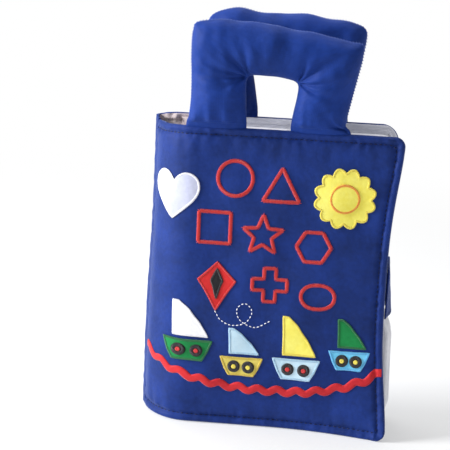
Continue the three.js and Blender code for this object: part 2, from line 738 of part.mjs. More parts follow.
function makeHand(length, width) {
  const shape = new THREE.Shape();
  const hub = width * handHubShare;
  shape.absarc(0, 0, hub, Math.PI * 0.75, Math.PI * 2.25, false);
  shape.lineTo(width / 2, length - width);
  shape.lineTo(0, length);
  shape.lineTo(-width / 2, length - width);
  const hole = new THREE.Path();
  hole.absarc(0, 0, studRadius + handSlack, 0, Math.PI * 2, true);
  shape.holes.push(hole);
  return new THREE.ExtrudeGeometry(shape, { depth: handThickness, bevelEnabled: false, curveSegments: 6 });
}
const hourHandLength = 32;
const hourHandWidth = 6;
const minuteHandLength = 48;
const minuteHandWidth = 5;
const hands = [
  { name: 'hour_hand', length: hourHandLength, width: hourHandWidth, hex: colour.rickrackRed, degrees: -60 },
  { name: 'minute_hand', length: minuteHandLength, width: minuteHandWidth, hex: colour.green, degrees: 30 },
];
hands.forEach((hand, i) => {
  const mesh = addMesh(hand.name, makeHand(hand.length, hand.width), cloth(hand.hex, 0.7));
  const lift = clockFace + clockThickness + handGap + i * (handThickness + handGap);
  mesh.rotation.set(Math.PI / 2, THREE.MathUtils.degToRad(hand.degrees), 0, 'YXZ');
  mesh.position.set(clockX, -clockDepth - lift, clockZ);
});
const metal = () => new THREE.MeshStandardMaterial({ color: colour.metal, roughness: 0.3, metalness: 0.9 });
const studReach = 2 * (handThickness + handGap) + handGap - seatGap;
const studOutline = [
  v2(0, 0),
  v2(studRadius, 0),
  v2(studRadius, studReach),
  v2(studHeadRadius, studReach),
  v2(studHeadRadius * studDomeShare, studReach + studHead),
  v2(0, studReach + studHead),
];
const stud = addMesh('clock_stud', new THREE.LatheGeometry(studOutline, 16), metal());
stud.rotation.x = Math.PI;
stud.position.set(clockX, -clockDepth - clockFace - clockThickness - seatGap, clockZ);

// Leaf 2 carries a pocket with a zip: the slider runs along the teeth and its pull turns on it
const zipX = fieldX;
const zipZ = 158;
const zipMargin = 17;
const zipLength = fieldWidth - 2 * zipMargin;
const tapeHeight = 20;
const tapeThickness = 0.8;
const toothHeight = 1.2;
const toothWidth = 5;
const pocketMargin = 8;
const pocketWidth = fieldWidth - 2 * pocketMargin;
const pocketHeight = 104;
const pocketDrop = 30;
const sliderWidth = 11;
const sliderHeight = 9;
const sliderWall = 0.9;
const sliderSlack = 0.3;
const pullLength = 20;
const pullWidth = 7;
const pullThickness = 0.9;
const postRadius = 1.4;
const postHeadRadius = 2.7;
const zipDepth = leafDepths[1];
const pocketFace = zipLeaf.half(zipLeaf.flat(zipX), zipZ) + seatGap;
const pocketShares = [[-0.5, 0.5], [0.5, 0.5], [0.5, -0.38], [0.4, -0.5], [-0.4, -0.5], [-0.5, -0.38]];
const pocketOutline = shapeOutline(pocketShares, pocketWidth, pocketHeight);
const pocketZ = zipZ - pocketDrop;
addMesh(
  'zip_pocket',
  patch(zipLeaf.sheet, zipLeaf.flat(zipX), pocketZ, pocketOutline, 1, () => pocketFace, patchThickness),
  cloth(colour.green),
);

// The tape and its teeth are one strip with a raised middle
function makeZip() {
  const half = tapeHeight / 2;
  const tooth = toothWidth / 2;
  const high = tapeThickness + toothHeight;
  const shape = new THREE.Shape([
    v2(-half, 0), v2(half, 0), v2(half, tapeThickness), v2(tooth, tapeThickness),
    v2(tooth, high), v2(-tooth, high), v2(-tooth, tapeThickness), v2(-half, tapeThickness),
  ]);
  return new THREE.ExtrudeGeometry(shape, { depth: zipLength, bevelEnabled: false });
}
const zipFront = zipDepth + pocketFace + patchThickness + seatGap;
const zip = addMesh('zip_tape', makeZip(), cloth(colour.rickrackRed, 0.7));
layAlong(zip, upwards, forwards, alongX);
zip.position.set(zipX - zipLength / 2, -zipFront, zipZ);

// The slider straddles the teeth: a plate with a lip over each side, and a post for the pull
function makeSlider() {
  const inside = toothWidth / 2 + sliderSlack;
  const outside = Math.max(inside + sliderWall, sliderHeight / 2);
  const low = tapeThickness + sliderSlack;
  const high = tapeThickness + toothHeight + sliderSlack;
  const shape = new THREE.Shape([
    v2(-outside, low), v2(-inside, low), v2(-inside, high),
    v2(inside, high), v2(inside, low), v2(outside, low),
    v2(outside, high + sliderWall), v2(-outside, high + sliderWall),
  ]);
  return new THREE.ExtrudeGeometry(shape, { depth: sliderWidth, bevelEnabled: false });
}
const sliderX = zipX - zipLength / 2 + sliderWidth / 2;
const slider = addMesh('zip_slider', makeSlider(), metal());
layAlong(slider, upwards, forwards, alongX);
slider.position.set(sliderX, -zipFront, zipZ);

// The pull hangs from a post on the slider and turns flat over the leaf
const postReach = tapeThickness + toothHeight + sliderSlack + sliderWall;
const postNeck = pullThickness + handGap;
const postOutline = [
  v2(0, 0),
  v2(postRadius, 0),
  v2(postRadius, postNeck),
  v2(postHeadRadius, postNeck),
  v2(postHeadRadius, postNeck + handGap),
  v2(0, postNeck + handGap),
];
const post = addMesh('zip_post', new THREE.LatheGeometry(postOutline, 12), metal());
post.rotation.x = Math.PI;
post.position.set(sliderX + sliderWidth / 2, -zipFront - postReach - seatGap / 2, zipZ);

function makePull() {
  const half = pullWidth / 2;
  const shape = new THREE.Shape();
  shape.absarc(0, 0, half, 0, Math.PI, false);
  shape.lineTo(-half, -pullLength + half);
  shape.absarc(0, -pullLength + half, half, Math.PI, 2 * Math.PI, false);
  const hole = new THREE.Path();
  hole.absarc(0, 0, postRadius + handSlack, 0, Math.PI * 2, true);
  shape.holes.push(hole);
  const depth = pullThickness - handGap;
  return new THREE.ExtrudeGeometry(shape, { depth, bevelEnabled: false, curveSegments: 6 });
}
const pull = addMesh('zip_pull', makePull(), metal());
pull.rotation.x = Math.PI / 2;
pull.position.set(sliderX + sliderWidth / 2, -zipFront - postReach - seatGap / 2 - handGap, zipZ);

// Leaf 3 carries three cords between two stuffed bands, each with one bead that slides along it
const beadX = fieldX;
const beadMargin = 17;
const beadSpan = fieldWidth - 2 * beadMargin;
const bandWidth = 12;
const bandThickness = 6.2;
const bandHeight = 150;
const beadZ = 134;
const cordSpacing = 42;
const cordRadius = 1;
const beadRadius = 3;
const beadLength = 9;
const beadSlack = 0.3;
const bandRound = 2;
const beadEndRadius = 2.25;
const beadDepth = leafDepths[2] + beadLeaf.half(beadLeaf.flat(beadX), beadZ) + seatGap;

function makeBand() {
  const half = bandWidth / 2 - bandRound;
  const shape = new THREE.Shape();
  shape.moveTo(-bandWidth / 2, 0);
  shape.lineTo(-bandWidth / 2, bandThickness - bandRound);
  shape.absarc(-half, bandThickness - bandRound, bandRound, Math.PI, Math.PI / 2, true);
  shape.absarc(half, bandThickness - bandRound, bandRound, Math.PI / 2, 0, true);
  shape.lineTo(bandWidth / 2, 0);
  return new THREE.ExtrudeGeometry(shape, { depth: bandHeight, bevelEnabled: false, curveSegments: 3 });
}
for (const side of [-1, 1]) {
  const band = addMesh(side < 0 ? 'bead_band_spine' : 'bead_band_edge', makeBand(), cloth(colour.skyBlue));
  band.rotation.z = Math.PI;
  band.position.set(beadX + (side * (beadSpan + bandWidth)) / 2, -beadDepth, beadZ - bandHeight / 2);
}
const cordDepth = beadDepth + bandThickness / 2;
const beadColours = [colour.rickrackRed, colour.yellow, colour.green];
const beadStartX = beadX - beadSpan / 2 + beadLength / 2 + closeGap;
beadColours.forEach((hex, i) => {
  const z = beadZ + (i - 1) * cordSpacing;
  const strand = new THREE.CylinderGeometry(cordRadius, cordRadius, beadSpan - 2 * seatGap, 8);
  const cord = addMesh(`bead_cord_${i + 1}`, strand, cloth(colour.white));
  cord.rotation.z = Math.PI / 2;
  cord.position.set(beadX, -cordDepth, z);
  const bore = cordRadius + beadSlack;
  const half = beadLength / 2;
  const beadOutline = [
    v2(bore, -half),
    v2(beadEndRadius, -half),
    v2(beadRadius, -half / 2),
    v2(beadRadius, half / 2),
    v2(beadEndRadius, half),
    v2(bore, half),
    v2(bore, -half),
  ];
  const bead = addMesh(`bead_${i + 1}`, new THREE.LatheGeometry(beadOutline, 14), cloth(hex, 0.4));
  bead.rotation.z = Math.PI / 2;
  bead.position.set(beadStartX, -cordDepth, z);
});

// Leaf 4 carries three plain shapes to match
const shapeX = fieldX;
const shapeSize = 56;
const shapeSpacing = 74;
const shapeZ = 134;
const squareShares = [[-0.5, -0.5], [0.5, -0.5], [0.5, 0.5], [-0.5, 0.5]];
const triangleShares = [[-0.55, -0.45], [0.55, -0.45], [0, 0.5]];
const matching = [
  { name: 'square', outline: shapeOutline(squareShares, shapeSize, shapeSize), hex: colour.rickrackRed },
  { name: 'circle', outline: ringOutline(24, shapeSize / 2), hex: colour.skyBlue },
  { name: 'triangle', outline: shapeOutline(triangleShares, shapeSize, shapeSize), hex: colour.sandYellow },
];
matching.forEach(({ name, outline, hex }, i) => {
  const z = shapeZ + (i - 1) * shapeSpacing;
  const base = () => leafPad / 2 + seatGap;
  const shape = patch(shapeLeaf.sheet, shapeLeaf.flat(shapeX), z, outline, 1, base, patchThickness);
  addMesh(`match_${name}`, shape, cloth(hex));
});

// The origin is at the middle of the book's box, on the surface that it stands on
book.traverse((node) => {
  if (node.isMesh && node.geometry.index === null) {
    node.geometry.deleteAttribute('uv');
    node.geometry.deleteAttribute('normal');
    node.geometry = mergeVertices(node.geometry);
    node.geometry.computeVertexNormals();
  }
});
const box = new THREE.Box3().setFromObject(book, true);
book.position.set(-(box.min.x + box.max.x) / 2, -(box.min.y + box.max.y) / 2, -box.min.z);

export default book;
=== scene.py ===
# %% [markdown]
# # A stuffed cloth activity book
# The book stands closed on its lower edge, with its spine on the left and two stuffed handles on top. Sizes
# are in millimetres, because a maker measures cloth that way. They are measured from the spine (x), from the
# back cover's outer face (y, which is negative towards the front) and from the table (z). One function turns
# them into Blender's metres at the end.

# %% The measured frame
import math

import bpy
import numpy as np
from mathutils import Matrix, Vector


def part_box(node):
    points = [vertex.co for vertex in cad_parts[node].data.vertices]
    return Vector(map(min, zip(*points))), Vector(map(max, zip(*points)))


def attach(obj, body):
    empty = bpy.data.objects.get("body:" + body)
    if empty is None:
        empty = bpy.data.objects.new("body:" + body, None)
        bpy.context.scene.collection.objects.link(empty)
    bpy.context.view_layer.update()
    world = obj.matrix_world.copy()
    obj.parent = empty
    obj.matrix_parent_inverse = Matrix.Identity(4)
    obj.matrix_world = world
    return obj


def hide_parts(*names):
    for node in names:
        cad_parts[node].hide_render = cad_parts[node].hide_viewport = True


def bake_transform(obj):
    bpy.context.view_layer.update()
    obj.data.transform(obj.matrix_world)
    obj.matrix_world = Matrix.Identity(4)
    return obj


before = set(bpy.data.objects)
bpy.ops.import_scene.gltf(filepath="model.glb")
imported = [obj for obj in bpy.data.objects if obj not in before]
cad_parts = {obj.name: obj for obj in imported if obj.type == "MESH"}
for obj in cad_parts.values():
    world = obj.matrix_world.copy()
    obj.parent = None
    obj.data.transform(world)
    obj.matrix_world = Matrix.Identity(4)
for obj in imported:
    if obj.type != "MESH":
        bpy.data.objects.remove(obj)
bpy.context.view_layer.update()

MM = 0.001
FOLD_X = 4.5
back_low, back_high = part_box("back_cover")
SHIFT = np.array([back_low.x / MM - FOLD_X, back_high.y / MM, 0.0])
print("frame", len(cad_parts), "nodes")

# %% [markdown]
# ## Camera
# A long lens from a little above keeps the cover's edges nearly parallel. The angles are turned into three
# directions by hand, so that the small roll of the picture is as easy to read as the rest.

# %% Camera
AZIMUTH, ELEVATION, ROLL = (math.radians(angle) for angle in (4.4, 13.7, 2.7))
LENS_MM, SENSOR_MM = 120, 36
CAMERA_DISTANCE_MM = 1320
AIM_MM = (68.5, -25.0, 175.0)


def make_camera():
    """A camera whose own axes are level, then rolled, and which stands back from its aim."""
    forward = Vector((-math.sin(AZIMUTH) * math.cos(ELEVATION), math.cos(AZIMUTH) * math.cos(ELEVATION),
                      -math.sin(ELEVATION)))
    level = Vector((math.cos(AZIMUTH), math.sin(AZIMUTH), 0))
    upward = level.cross(forward)
    right = level * math.cos(ROLL) + upward * math.sin(ROLL)
    up = upward * math.cos(ROLL) - level * math.sin(ROLL)
    data = bpy.data.cameras.new("camera")
    data.lens = LENS_MM
    data.sensor_width = SENSOR_MM
    camera = bpy.data.objects.new("camera", data)
    bpy.context.collection.objects.link(camera)
    aim = Vector((np.array(AIM_MM) + SHIFT) * MM)
    turned = Matrix((right, up, -forward)).transposed().to_4x4()
    camera.matrix_world = Matrix.Translation(aim - forward * CAMERA_DISTANCE_MM * MM) @ turned
    bpy.context.scene.camera = camera
    bpy.context.scene.view_settings.view_transform = "Standard"


make_camera()
print("camera", CAMERA_DISTANCE_MM, "mm away")

# %% [markdown]
# ## Materials
# Every cloth here is a plain weave: threads that cross at right angles, a slightly uneven dye, and a soft
# sheen from loose fibres. Real threads are about 0.3 mm apart, too fine to show in a picture of the whole
# book, so the weave is drawn three times as coarse. An image of cloth would stretch where a piece swells, so
# the patterns are worked out instead. They run on each piece's own UV map, which is in metres along and up
# the cloth.

# %% Node helper and colours


def linear(hex_colour, alpha=1.0):
    """An sRGB hex colour as linear light."""
    parts = [int(hex_colour[i:i + 2], 16) / 255 for i in (0, 2, 4)]
    return [part / 12.92 if part <= 0.04045 else ((part + 0.055) / 1.055) ** 2.4 for part in parts] + [alpha]


def add(tree, kind, inputs=None, **settings):
    """Adds one node with its settings. An input that is a socket is linked, and any other value is set."""
    made = tree.nodes.new(kind)
    for name, value in settings.items():
        setattr(made, name, value)
    for name, value in (inputs or {}).items():
        socket = made.inputs[name]
        if isinstance(value, bpy.types.NodeSocket):
            tree.links.new(value, socket)
        else:
            socket.default_value = value
    return made


def new_material(name, shader_inputs):
    """A material with a Principled shader whose plain values are set on its own sockets."""
    material = bpy.data.materials.new(name)
    material.use_nodes = True
    tree = material.node_tree
    shader = tree.nodes["Principled BSDF"]
    for socket, value in shader_inputs.items():
        shader.inputs[socket].default_value = value
    return material, tree, shader


def blotches(tree, where, size_mm, detail=2.0):
    """Soft random patches of about that size."""
    noise = add(tree, "ShaderNodeTexNoise", {"Vector": where, "Scale": 1 / (size_mm * MM), "Detail": detail})
    return noise.outputs["Fac"]


# %% Woven cloth
WEAVE_PITCH_MM, THREAD_DEPTH_MM, THREAD_TINT_SHARE = 0.9, 0.25, 0.3
CREASE_SIZE_MM, CREASE_DEPTH_MM = 9, 1.6
DYE_PATCH_MM, DYE_FLECK_MM, DYE_FLECK_SHARE = 30, 3.5, 0.35
# Painted shade: near the spine the cloth takes two other tones, mauve and cream patches that stand for the
# shade in its crumples, up to this distance from it
SHADE_START_MM, SHADE_END_MM, SHADE_PATCH_MM = 54, 38, 12
WAVE_PERIOD = 2 * math.pi / 20


def woven_cloth(name, shade, light, roughness=0.72, sheen=0.2, crumple=0.35, specular=0.25,
                sheen_tint="ffffff", spine_painted_shade=None):
    """Spun yarn, woven: dull, with a rim of light on its fibres, fine crossing threads and soft creases."""
    material, tree, shader = new_material(name, {
        "Roughness": roughness, "Sheen Weight": sheen, "Sheen Roughness": 0.4,
        "Sheen Tint": linear(sheen_tint), "Specular IOR Level": specular,
    })
    where = add(tree, "ShaderNodeUVMap", uv_map="UVMap").outputs[0]
    scale = WAVE_PERIOD / (WEAVE_PITCH_MM * MM)
    wave = {"Vector": where, "Scale": scale, "Distortion": 0.6, "Detail Scale": 2.0}
    threads = [add(tree, "ShaderNodeTexWave", wave, bands_direction=way).outputs["Fac"] for way in "XY"]
    weave = add(tree, "ShaderNodeMath", {0: threads[0], 1: threads[1]}, operation="MULTIPLY").outputs[0]
    broad = blotches(tree, where, DYE_PATCH_MM)
    fine = blotches(tree, where, DYE_FLECK_MM, 4.0)
    dye = add(tree, "ShaderNodeMixRGB", {"Fac": DYE_FLECK_SHARE, "Color1": broad, "Color2": fine}).outputs[0]
    dyed = add(tree, "ShaderNodeMapRange", {"Value": dye, "From Min": 0.32, "From Max": 0.68}).outputs[0]
    tint_share = {0: weave, 1: THREAD_TINT_SHARE}
    thread_tint = add(tree, "ShaderNodeMath", tint_share, operation="MULTIPLY").outputs[0]
    mixed = add(tree, "ShaderNodeMath", {0: dyed, 1: thread_tint}, operation="ADD", use_clamp=True).outputs[0]
    tint = add(tree, "ShaderNodeMixRGB", {"Fac": mixed, "Color1": linear(shade),
                                          "Color2": linear(light)}).outputs[0]
    # Painted shade: mauve and cream patches near the spine stand for the shade in the crumpled cloth there
    if spine_painted_shade:
        along = add(tree, "ShaderNodeSeparateXYZ", {"Vector": where}).outputs["X"]
        near = add(tree, "ShaderNodeMapRange", {"Value": along, "From Min": SHADE_START_MM * MM,
                                                "From Max": SHADE_END_MM * MM}).outputs[0]
        patches = add(tree, "ShaderNodeMapRange", {"Value": blotches(tree, where, SHADE_PATCH_MM, 3.0),
                                                   "From Min": 0.3, "From Max": 0.7}).outputs[0]
        dark, pale = (linear(colour) for colour in spine_painted_shade)
        crumple_shade = add(tree, "ShaderNodeMixRGB", {"Fac": patches, "Color1": dark, "Color2": pale}).outputs[0]
        tint = add(tree, "ShaderNodeMixRGB", {"Fac": near, "Color1": tint, "Color2": crumple_shade}).outputs[0]
    tree.links.new(tint, shader.inputs["Base Color"])
    creases = add(tree, "ShaderNodeBump", {"Height": blotches(tree, where, CREASE_SIZE_MM, 3.0),
                                           "Strength": crumple, "Distance": CREASE_DEPTH_MM * MM}).outputs[0]
    grain = add(tree, "ShaderNodeBump", {"Height": weave, "Strength": 0.35, "Distance": THREAD_DEPTH_MM * MM,
                                         "Normal": creases}).outputs[0]
    tree.links.new(grain, shader.inputs["Normal"])
    return material


COTTON = {
    "cover": woven_cloth("polycotton twill, royal blue", "10265e", "183480", 0.6, 0.42, 0.45, 0.15, "8ea4e0"),
    # The handles' copy of the cover cloth is painted lighter and bluer than the cover: painted light, for the
    # brighter light that falls on the handles
    "handle": woven_cloth("polycotton twill, royal blue, stuffed", "0e2c70", "15388c", 0.6, 0.42, 0.45, 0.15,
                          "8ea4e0"),
    "page": woven_cloth("brushed cotton, white", "e1e2e8", "f5f5f9", 0.85, 0.3, 0.5, 0.2),
    # Its mauve and cream patches near the spine are painted shade of the crumples there
    "lining": woven_cloth("polyester lining, off white", "c9cad5", "e0e1e9", 0.8, 0.3, 0.5, 0.25,
                          spine_painted_shade=("b09fa7", "d3c8c4")),
    "yellow": woven_cloth("cotton poplin, yellow", "efe04a", "faf27a"),
    # The heart's white cotton is painted a darker lilac grey than the white cotton below: painted shade
    "lilac": woven_cloth("cotton poplin, lilac white", "b2b6d0", "c8cbe0"),
    "white": woven_cloth("cotton poplin, white", "e9eaf0", "fafafc"),
    "pale": woven_cloth("cotton poplin, pale blue", "b4d6ea", "cce6f4"),
    "sky": woven_cloth("cotton poplin, sky blue", "58b8e8", "79cff2"),
    "sand": woven_cloth("cotton poplin, sand yellow", "d0b94a", "e4d470"),
    "green": woven_cloth("cotton poplin, green", "0a6a34", "118a46"),
    "red": woven_cloth("cotton poplin, red", "b81c1e", "d42c2c"),
    "braid": woven_cloth("woven rick-rack braid, red", "b01623", "d42a30", 0.6, 0.3, 0.3),
    "black": woven_cloth("hook and loop tape, black", "121214", "242428", 0.9, 0.2),
}
print("cloths", len(COTTON))

# %% Threads
THREAD_FLECK_MM, PLY_SIZE_MM, PLY_DEPTH_MM = 1.4, 0.5, 0.2


def satin_thread(name, shade, light, shine=0.5):
    """Embroidery thread: smooth filaments, glossier than the cloth, that catch light along their length."""
    material, tree, shader = new_material(name, {"Roughness": 0.38, "Sheen Weight": shine / 2,
                                                 "Specular IOR Level": shine})
    where = add(tree, "ShaderNodeTexCoord").outputs["Object"]
    flecks = blotches(tree, where, THREAD_FLECK_MM)
    tint = add(tree, "ShaderNodeMixRGB", {"Fac": flecks, "Color1": linear(shade),
                                          "Color2": linear(light)}).outputs[0]
    tree.links.new(tint, shader.inputs["Base Color"])
    ply = add(tree, "ShaderNodeBump", {"Height": blotches(tree, where, PLY_SIZE_MM), "Strength": 0.4,
                                       "Distance": PLY_DEPTH_MM * MM}).outputs[0]
    tree.links.new(ply, shader.inputs["Normal"])
    return material


RAYON = {
    "white": ("dcdce4", "f8f8fb"), "yellow": ("dcc63a", "f6e868"), "orange": ("d8741c", "f29a3c"),
    "red": ("b0141c", "dc2e2c"), "black": ("0c0a0e", "24202a"), "green": ("06562c", "107a40"),
    "sky blue": ("4aa8e0", "78cdf4"), "pale blue": ("96c0de", "c0def0"), "sand yellow": ("c4a832", "e2cb5a"),
}
THREAD = {colour.split()[0]: satin_thread(f"rayon thread, {colour}", *tones)
          for colour, tones in RAYON.items()}
THREAD["navy"] = satin_thread("polyester thread, navy", "0a1338", "111d4e", 0.2)
THREAD["blue"] = satin_thread("polyester thread, royal blue", "3a56ac", "5672c8")
THREAD["grey"] = satin_thread("polyester thread, pale grey", "8e909c", "b0b2be", 0.3)
THREAD["ecru"] = satin_thread("polyester thread, off white", "c8c9d4", "e6e7ee")
print("materials", len(bpy.data.materials))

# %% [markdown]
# ## From millimetres to meshes
# Each cloth piece is a grid of points with a UV map that keeps real distances. A grid is easy to bend, and
# its columns and rows can be set close together where a seam needs them. The points are turned to metres
# here, and faces are turned outwards if they come out inside.

# %% Mesh helpers


def set_uv(mesh, uv):
    """Gives the mesh a UV map from one pair of millimetres for each of its points."""
    index = np.zeros(len(mesh.loops), np.int32)
    mesh.loops.foreach_get("vertex_index", index)
    layer = mesh.uv_layers.new(name="UVMap")
    layer.data.foreach_set("uv", (np.asarray(uv, float)[index] * MM).astype(np.float32).ravel())


def add_piece(name, mesh, body=None, stands_for=()):
    """Puts a mesh in the scene as one smooth piece, on its body and in place of its CAD nodes."""
    mesh.polygons.foreach_set("use_smooth", np.ones(len(mesh.polygons), bool))
    mesh.update()
    piece = bpy.data.objects.new(name, mesh)
    bpy.context.collection.objects.link(piece)
    if stands_for:
        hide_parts(*stands_for)
    if body:
        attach(piece, body)
    return piece


def make_piece(name, points, faces, material, uv, body=None, stands_for=(), second=None):
    """One mesh piece. The second material, if any, covers the faces that its mask picks out."""
    points = (np.asarray(points, float) + SHIFT) * MM
    faces = np.asarray(faces)
    corners = points[faces[:, :3]]
    volume = np.einsum("ij,ij->", corners[:, 0], np.cross(corners[:, 1], corners[:, 2]))
    if volume < 0:
        faces = faces[:, ::-1]
    mesh = bpy.data.meshes.new(name)
    mesh.from_pydata(points.tolist(), [], faces.tolist())
    set_uv(mesh, uv)
    mesh.materials.append(material)
    if second:
        mesh.materials.append(second[0])
        mesh.polygons.foreach_set("material_index", np.asarray(second[1], np.int32))
    return add_piece(name, mesh, body, stands_for)


def grid_faces(columns, rows, start=0, wrap=False):
    """Quads of a grid of points that is stored column by column. A wrapped grid closes round its rows."""
    i, j = np.meshgrid(np.arange(columns - 1), np.arange(rows if wrap else rows - 1), indexing="ij")
    after = (j + 1) % rows
    quads = np.stack([i * rows + j, (i + 1) * rows + j, (i + 1) * rows + after, i * rows + after], axis=-1)
    return quads.reshape(-1, 4) + start


def rim_faces(rim, far, turned=False):
    """Quads between one edge of a grid and the same edge of its copy, which starts far points later."""
    a, b = rim[:-1], rim[1:]
    quads = np.stack([a, b, b + far, a + far], axis=-1)
    return quads[:, ::-1] if turned else quads


def ripple(u, v, size, seed, count=18):
    """A smooth random wave field of about that size, between -1 and 1 for the most part."""
    rng = np.random.default_rng(seed)
    total = 0
    for _ in range(count):
        turn, stretch, phase = rng.uniform(0, 2 * np.pi), rng.uniform(0.7, 1.7), rng.uniform(0, 2 * np.pi)
        wave = 2 * np.pi / (size * stretch)
        total = total + np.sin(wave * (u * np.cos(turn) + v * np.sin(turn)) + phase)
    return total / np.sqrt(count * 2)


def smooth_step(x, start, end):
    """Rises from 0 at the start to 1 at the end, with no corner at either."""
    t = np.clip((x - start) / (end - start), 0, 1)
    return t * t * (3 - 2 * t)


# %% [markdown]
# ## Sheets
# A panel of the book is flat cloth that is bent in plan only, like paper. So each panel is drawn on a sheet:
# `s` runs along the cloth from the spine, `z` runs up, and the offset runs out of the cloth. Cloth simulation
# could bend it too, but not to the places that the photo shows. What is sewn on a panel uses the same sheet,
# and follows every bend.

# %% The sheet


def bezier(a, b, c, d, count=300):
    """Points along a cubic Bezier curve from its four control points."""
    t = np.linspace(0, 1, count)[:, None]
    return (1 - t) ** 3 * a + 3 * (1 - t) ** 2 * t * b + 3 * (1 - t) * t ** 2 * c + t ** 3 * d


def straight(start, end, y, count=60):
    """Points along a straight panel, seen from above."""
    return np.array([(x, y) for x in np.linspace(start, end, count)])


class Sheet:
    """A bent cloth. Its fore-edge can be pinched in at the middle, swollen out low down and rounded at the
    corners. Its lower corner can curl forwards, its low part can bulge past the spine, its top can rise."""
    CURL_HEIGHT, CURL_WIDTH = 110, 110
    SWELL_LOW, SWELL_HIGH = (6, 26), (86, 112)
    BULGE_HEIGHTS, BULGE_REACH = (60, 225), (6, 60)
    RISE_HEIGHT = 45

    def __init__(self, path, bottom, top, pinch=0, corner=0, curl=0, swell=0, bulge=0, rise=((0,), (0,))):
        self.xy = np.asarray(path, float)
        self.at = np.concatenate([[0], np.cumsum(np.linalg.norm(np.diff(self.xy, axis=0), axis=1))])
        slope = np.gradient(self.xy, self.at, axis=0)
        self.slope = slope / np.linalg.norm(slope, axis=1)[:, None]
        self.length, self.bottom, self.top = self.at[-1], bottom, top
        self.pinch, self.corner, self.curl = pinch, corner, curl
        self.swell, self.bulge, self.rise = swell, bulge, rise

    def end(self, z):
        """Where the fore-edge lies at a height."""
        middleness = np.abs(2 * (z - self.bottom) / (self.top - self.bottom) - 1)
        past = np.maximum(self.corner - np.minimum(z - self.bottom, self.top - z), 0)
        rounded = self.corner - np.sqrt(np.maximum(self.corner ** 2 - past ** 2, 0))
        pinched = self.pinch * np.clip(1 - middleness ** 3, 0, 1) ** 2.3
        swollen = self.swell * smooth_step(z, *self.SWELL_LOW) * (1 - smooth_step(z, *self.SWELL_HIGH))
        return self.length + swollen - pinched - rounded

    def inwards(self, s, z):
        """How far a place lies in from the nearest free edge."""
        return np.minimum(self.end(z) - s, np.minimum(z - self.bottom, self.top - z))

    def direction(self, s):
        return (np.interp(s, self.at, self.slope[:, k]) for k in (0, 1))

    def outward(self, s):
        """The direction straight out of the cloth, towards the front."""
        tx, ty = self.direction(np.clip(s, 0, self.length))
        return np.stack([ty, -tx, np.zeros_like(tx)], axis=-1)

    def point(self, s, z, offset):
        """The place in millimetres of a point at this distance out of the cloth."""
        s, z, offset = np.broadcast_arrays(np.asarray(s, float), z, offset)
        inside = np.clip(s, 0, self.length)
        x, y = (np.interp(inside, self.at, self.xy[:, k]) for k in (0, 1))
        tx, ty = self.direction(inside)
        past = s - inside
        across = np.maximum((s - self.length + self.CURL_WIDTH) / self.CURL_WIDTH, 0)
        down = np.maximum(1 - (z - self.bottom) / self.CURL_HEIGHT, 0)
        lift = self.curl * across ** 2 * down ** 2
        x, y = x + tx * past + ty * offset, y + ty * past - tx * offset - lift
        low = 1 - smooth_step(z, *self.BULGE_HEIGHTS)
        risen = np.interp(s, *self.rise) * smooth_step(z, self.top - self.RISE_HEIGHT, self.top)
        bulged = self.bulge * low * (1 - smooth_step(x, *self.BULGE_REACH))
        return np.stack([x - bulged, y, z + risen], axis=-1)


# %% [markdown]
# ## Stuffing and puckers
# A stuffed cloth edge is thin at its rim, swells, is pulled flat by the stitches and swells again behind
# them. That profile is a short list of shares of the wadding's thickness, smoothed as cloth smooths it. The
# thread also gathers the cloth, so small creases cross the seam. Both are worked out from the distance to
# the edge.

# %% Stuffing
SEAM_SHARES = [0, 0.16, 0.5, 1, 1.6, 2.8]
PUFF_SHARES = [0.55, 0.95, 1.22, 0.3, 0.84, 1]
EDGE_ROUND = 2.2
GROOVE_DEPTH_SHARE, GROOVE_WIDTH = 0.13, 1.3
THINNEST_SHARE = 0.25
PROFILE_REACH, PROFILE_POINTS, SMOOTHING = 60, 601, 19


def stuffed_profile(pad, seam):
    """Half the thickness of a stitched, stuffed edge by distance in from the edge."""
    reach = np.linspace(0, PROFILE_REACH, PROFILE_POINTS)
    half = np.interp(reach, np.array(SEAM_SHARES) * seam, np.array(PUFF_SHARES) * pad / 2)
    window = np.hanning(SMOOTHING)
    soft = np.convolve(np.pad(half, SMOOTHING // 2, mode="edge"), window / window.sum(), mode="valid")
    rounding = np.sqrt(1 - (1 - np.clip(reach / EDGE_ROUND, 0, 1)) ** 2)
    groove = GROOVE_DEPTH_SHARE * pad * np.exp(-((reach - seam) / GROOVE_WIDTH) ** 2)
    return reach, np.maximum(soft * rounding - groove, soft * rounding * THINNEST_SHARE)


def stuffing(sheet, pad, seam, root_length, root):
    """Half the thickness anywhere on a panel, which thins to its root at the spine."""
    reach, profile = stuffed_profile(pad, seam)

    def half(s, z):
        crown = np.interp(np.clip(sheet.inwards(s, z), 0, None), reach, profile)
        eased = root + smooth_step(s, 0, root_length) * (pad - root)
        return np.minimum(crown, eased / 2)
    return half


thinned = 2 * float(np.interp(7, *stuffed_profile(6, 7)))
print("stitches pull 6 mm of wadding down to", round(thinned, 1), "mm")


# %% Puckers
STITCH_PITCH = 4.3
PUCKER_SIZE, FINE_PUCKER_SIZE, PUCKER_FADE = 7, 3.6, 5.5
RIM_BUMP_WIDTH, RIM_BUMP_SEED_STEP = 2.4, 30
PLEAT_SIZE, PLEAT_REACH, PLEAT_SEED_STEP = 12, 17, 20


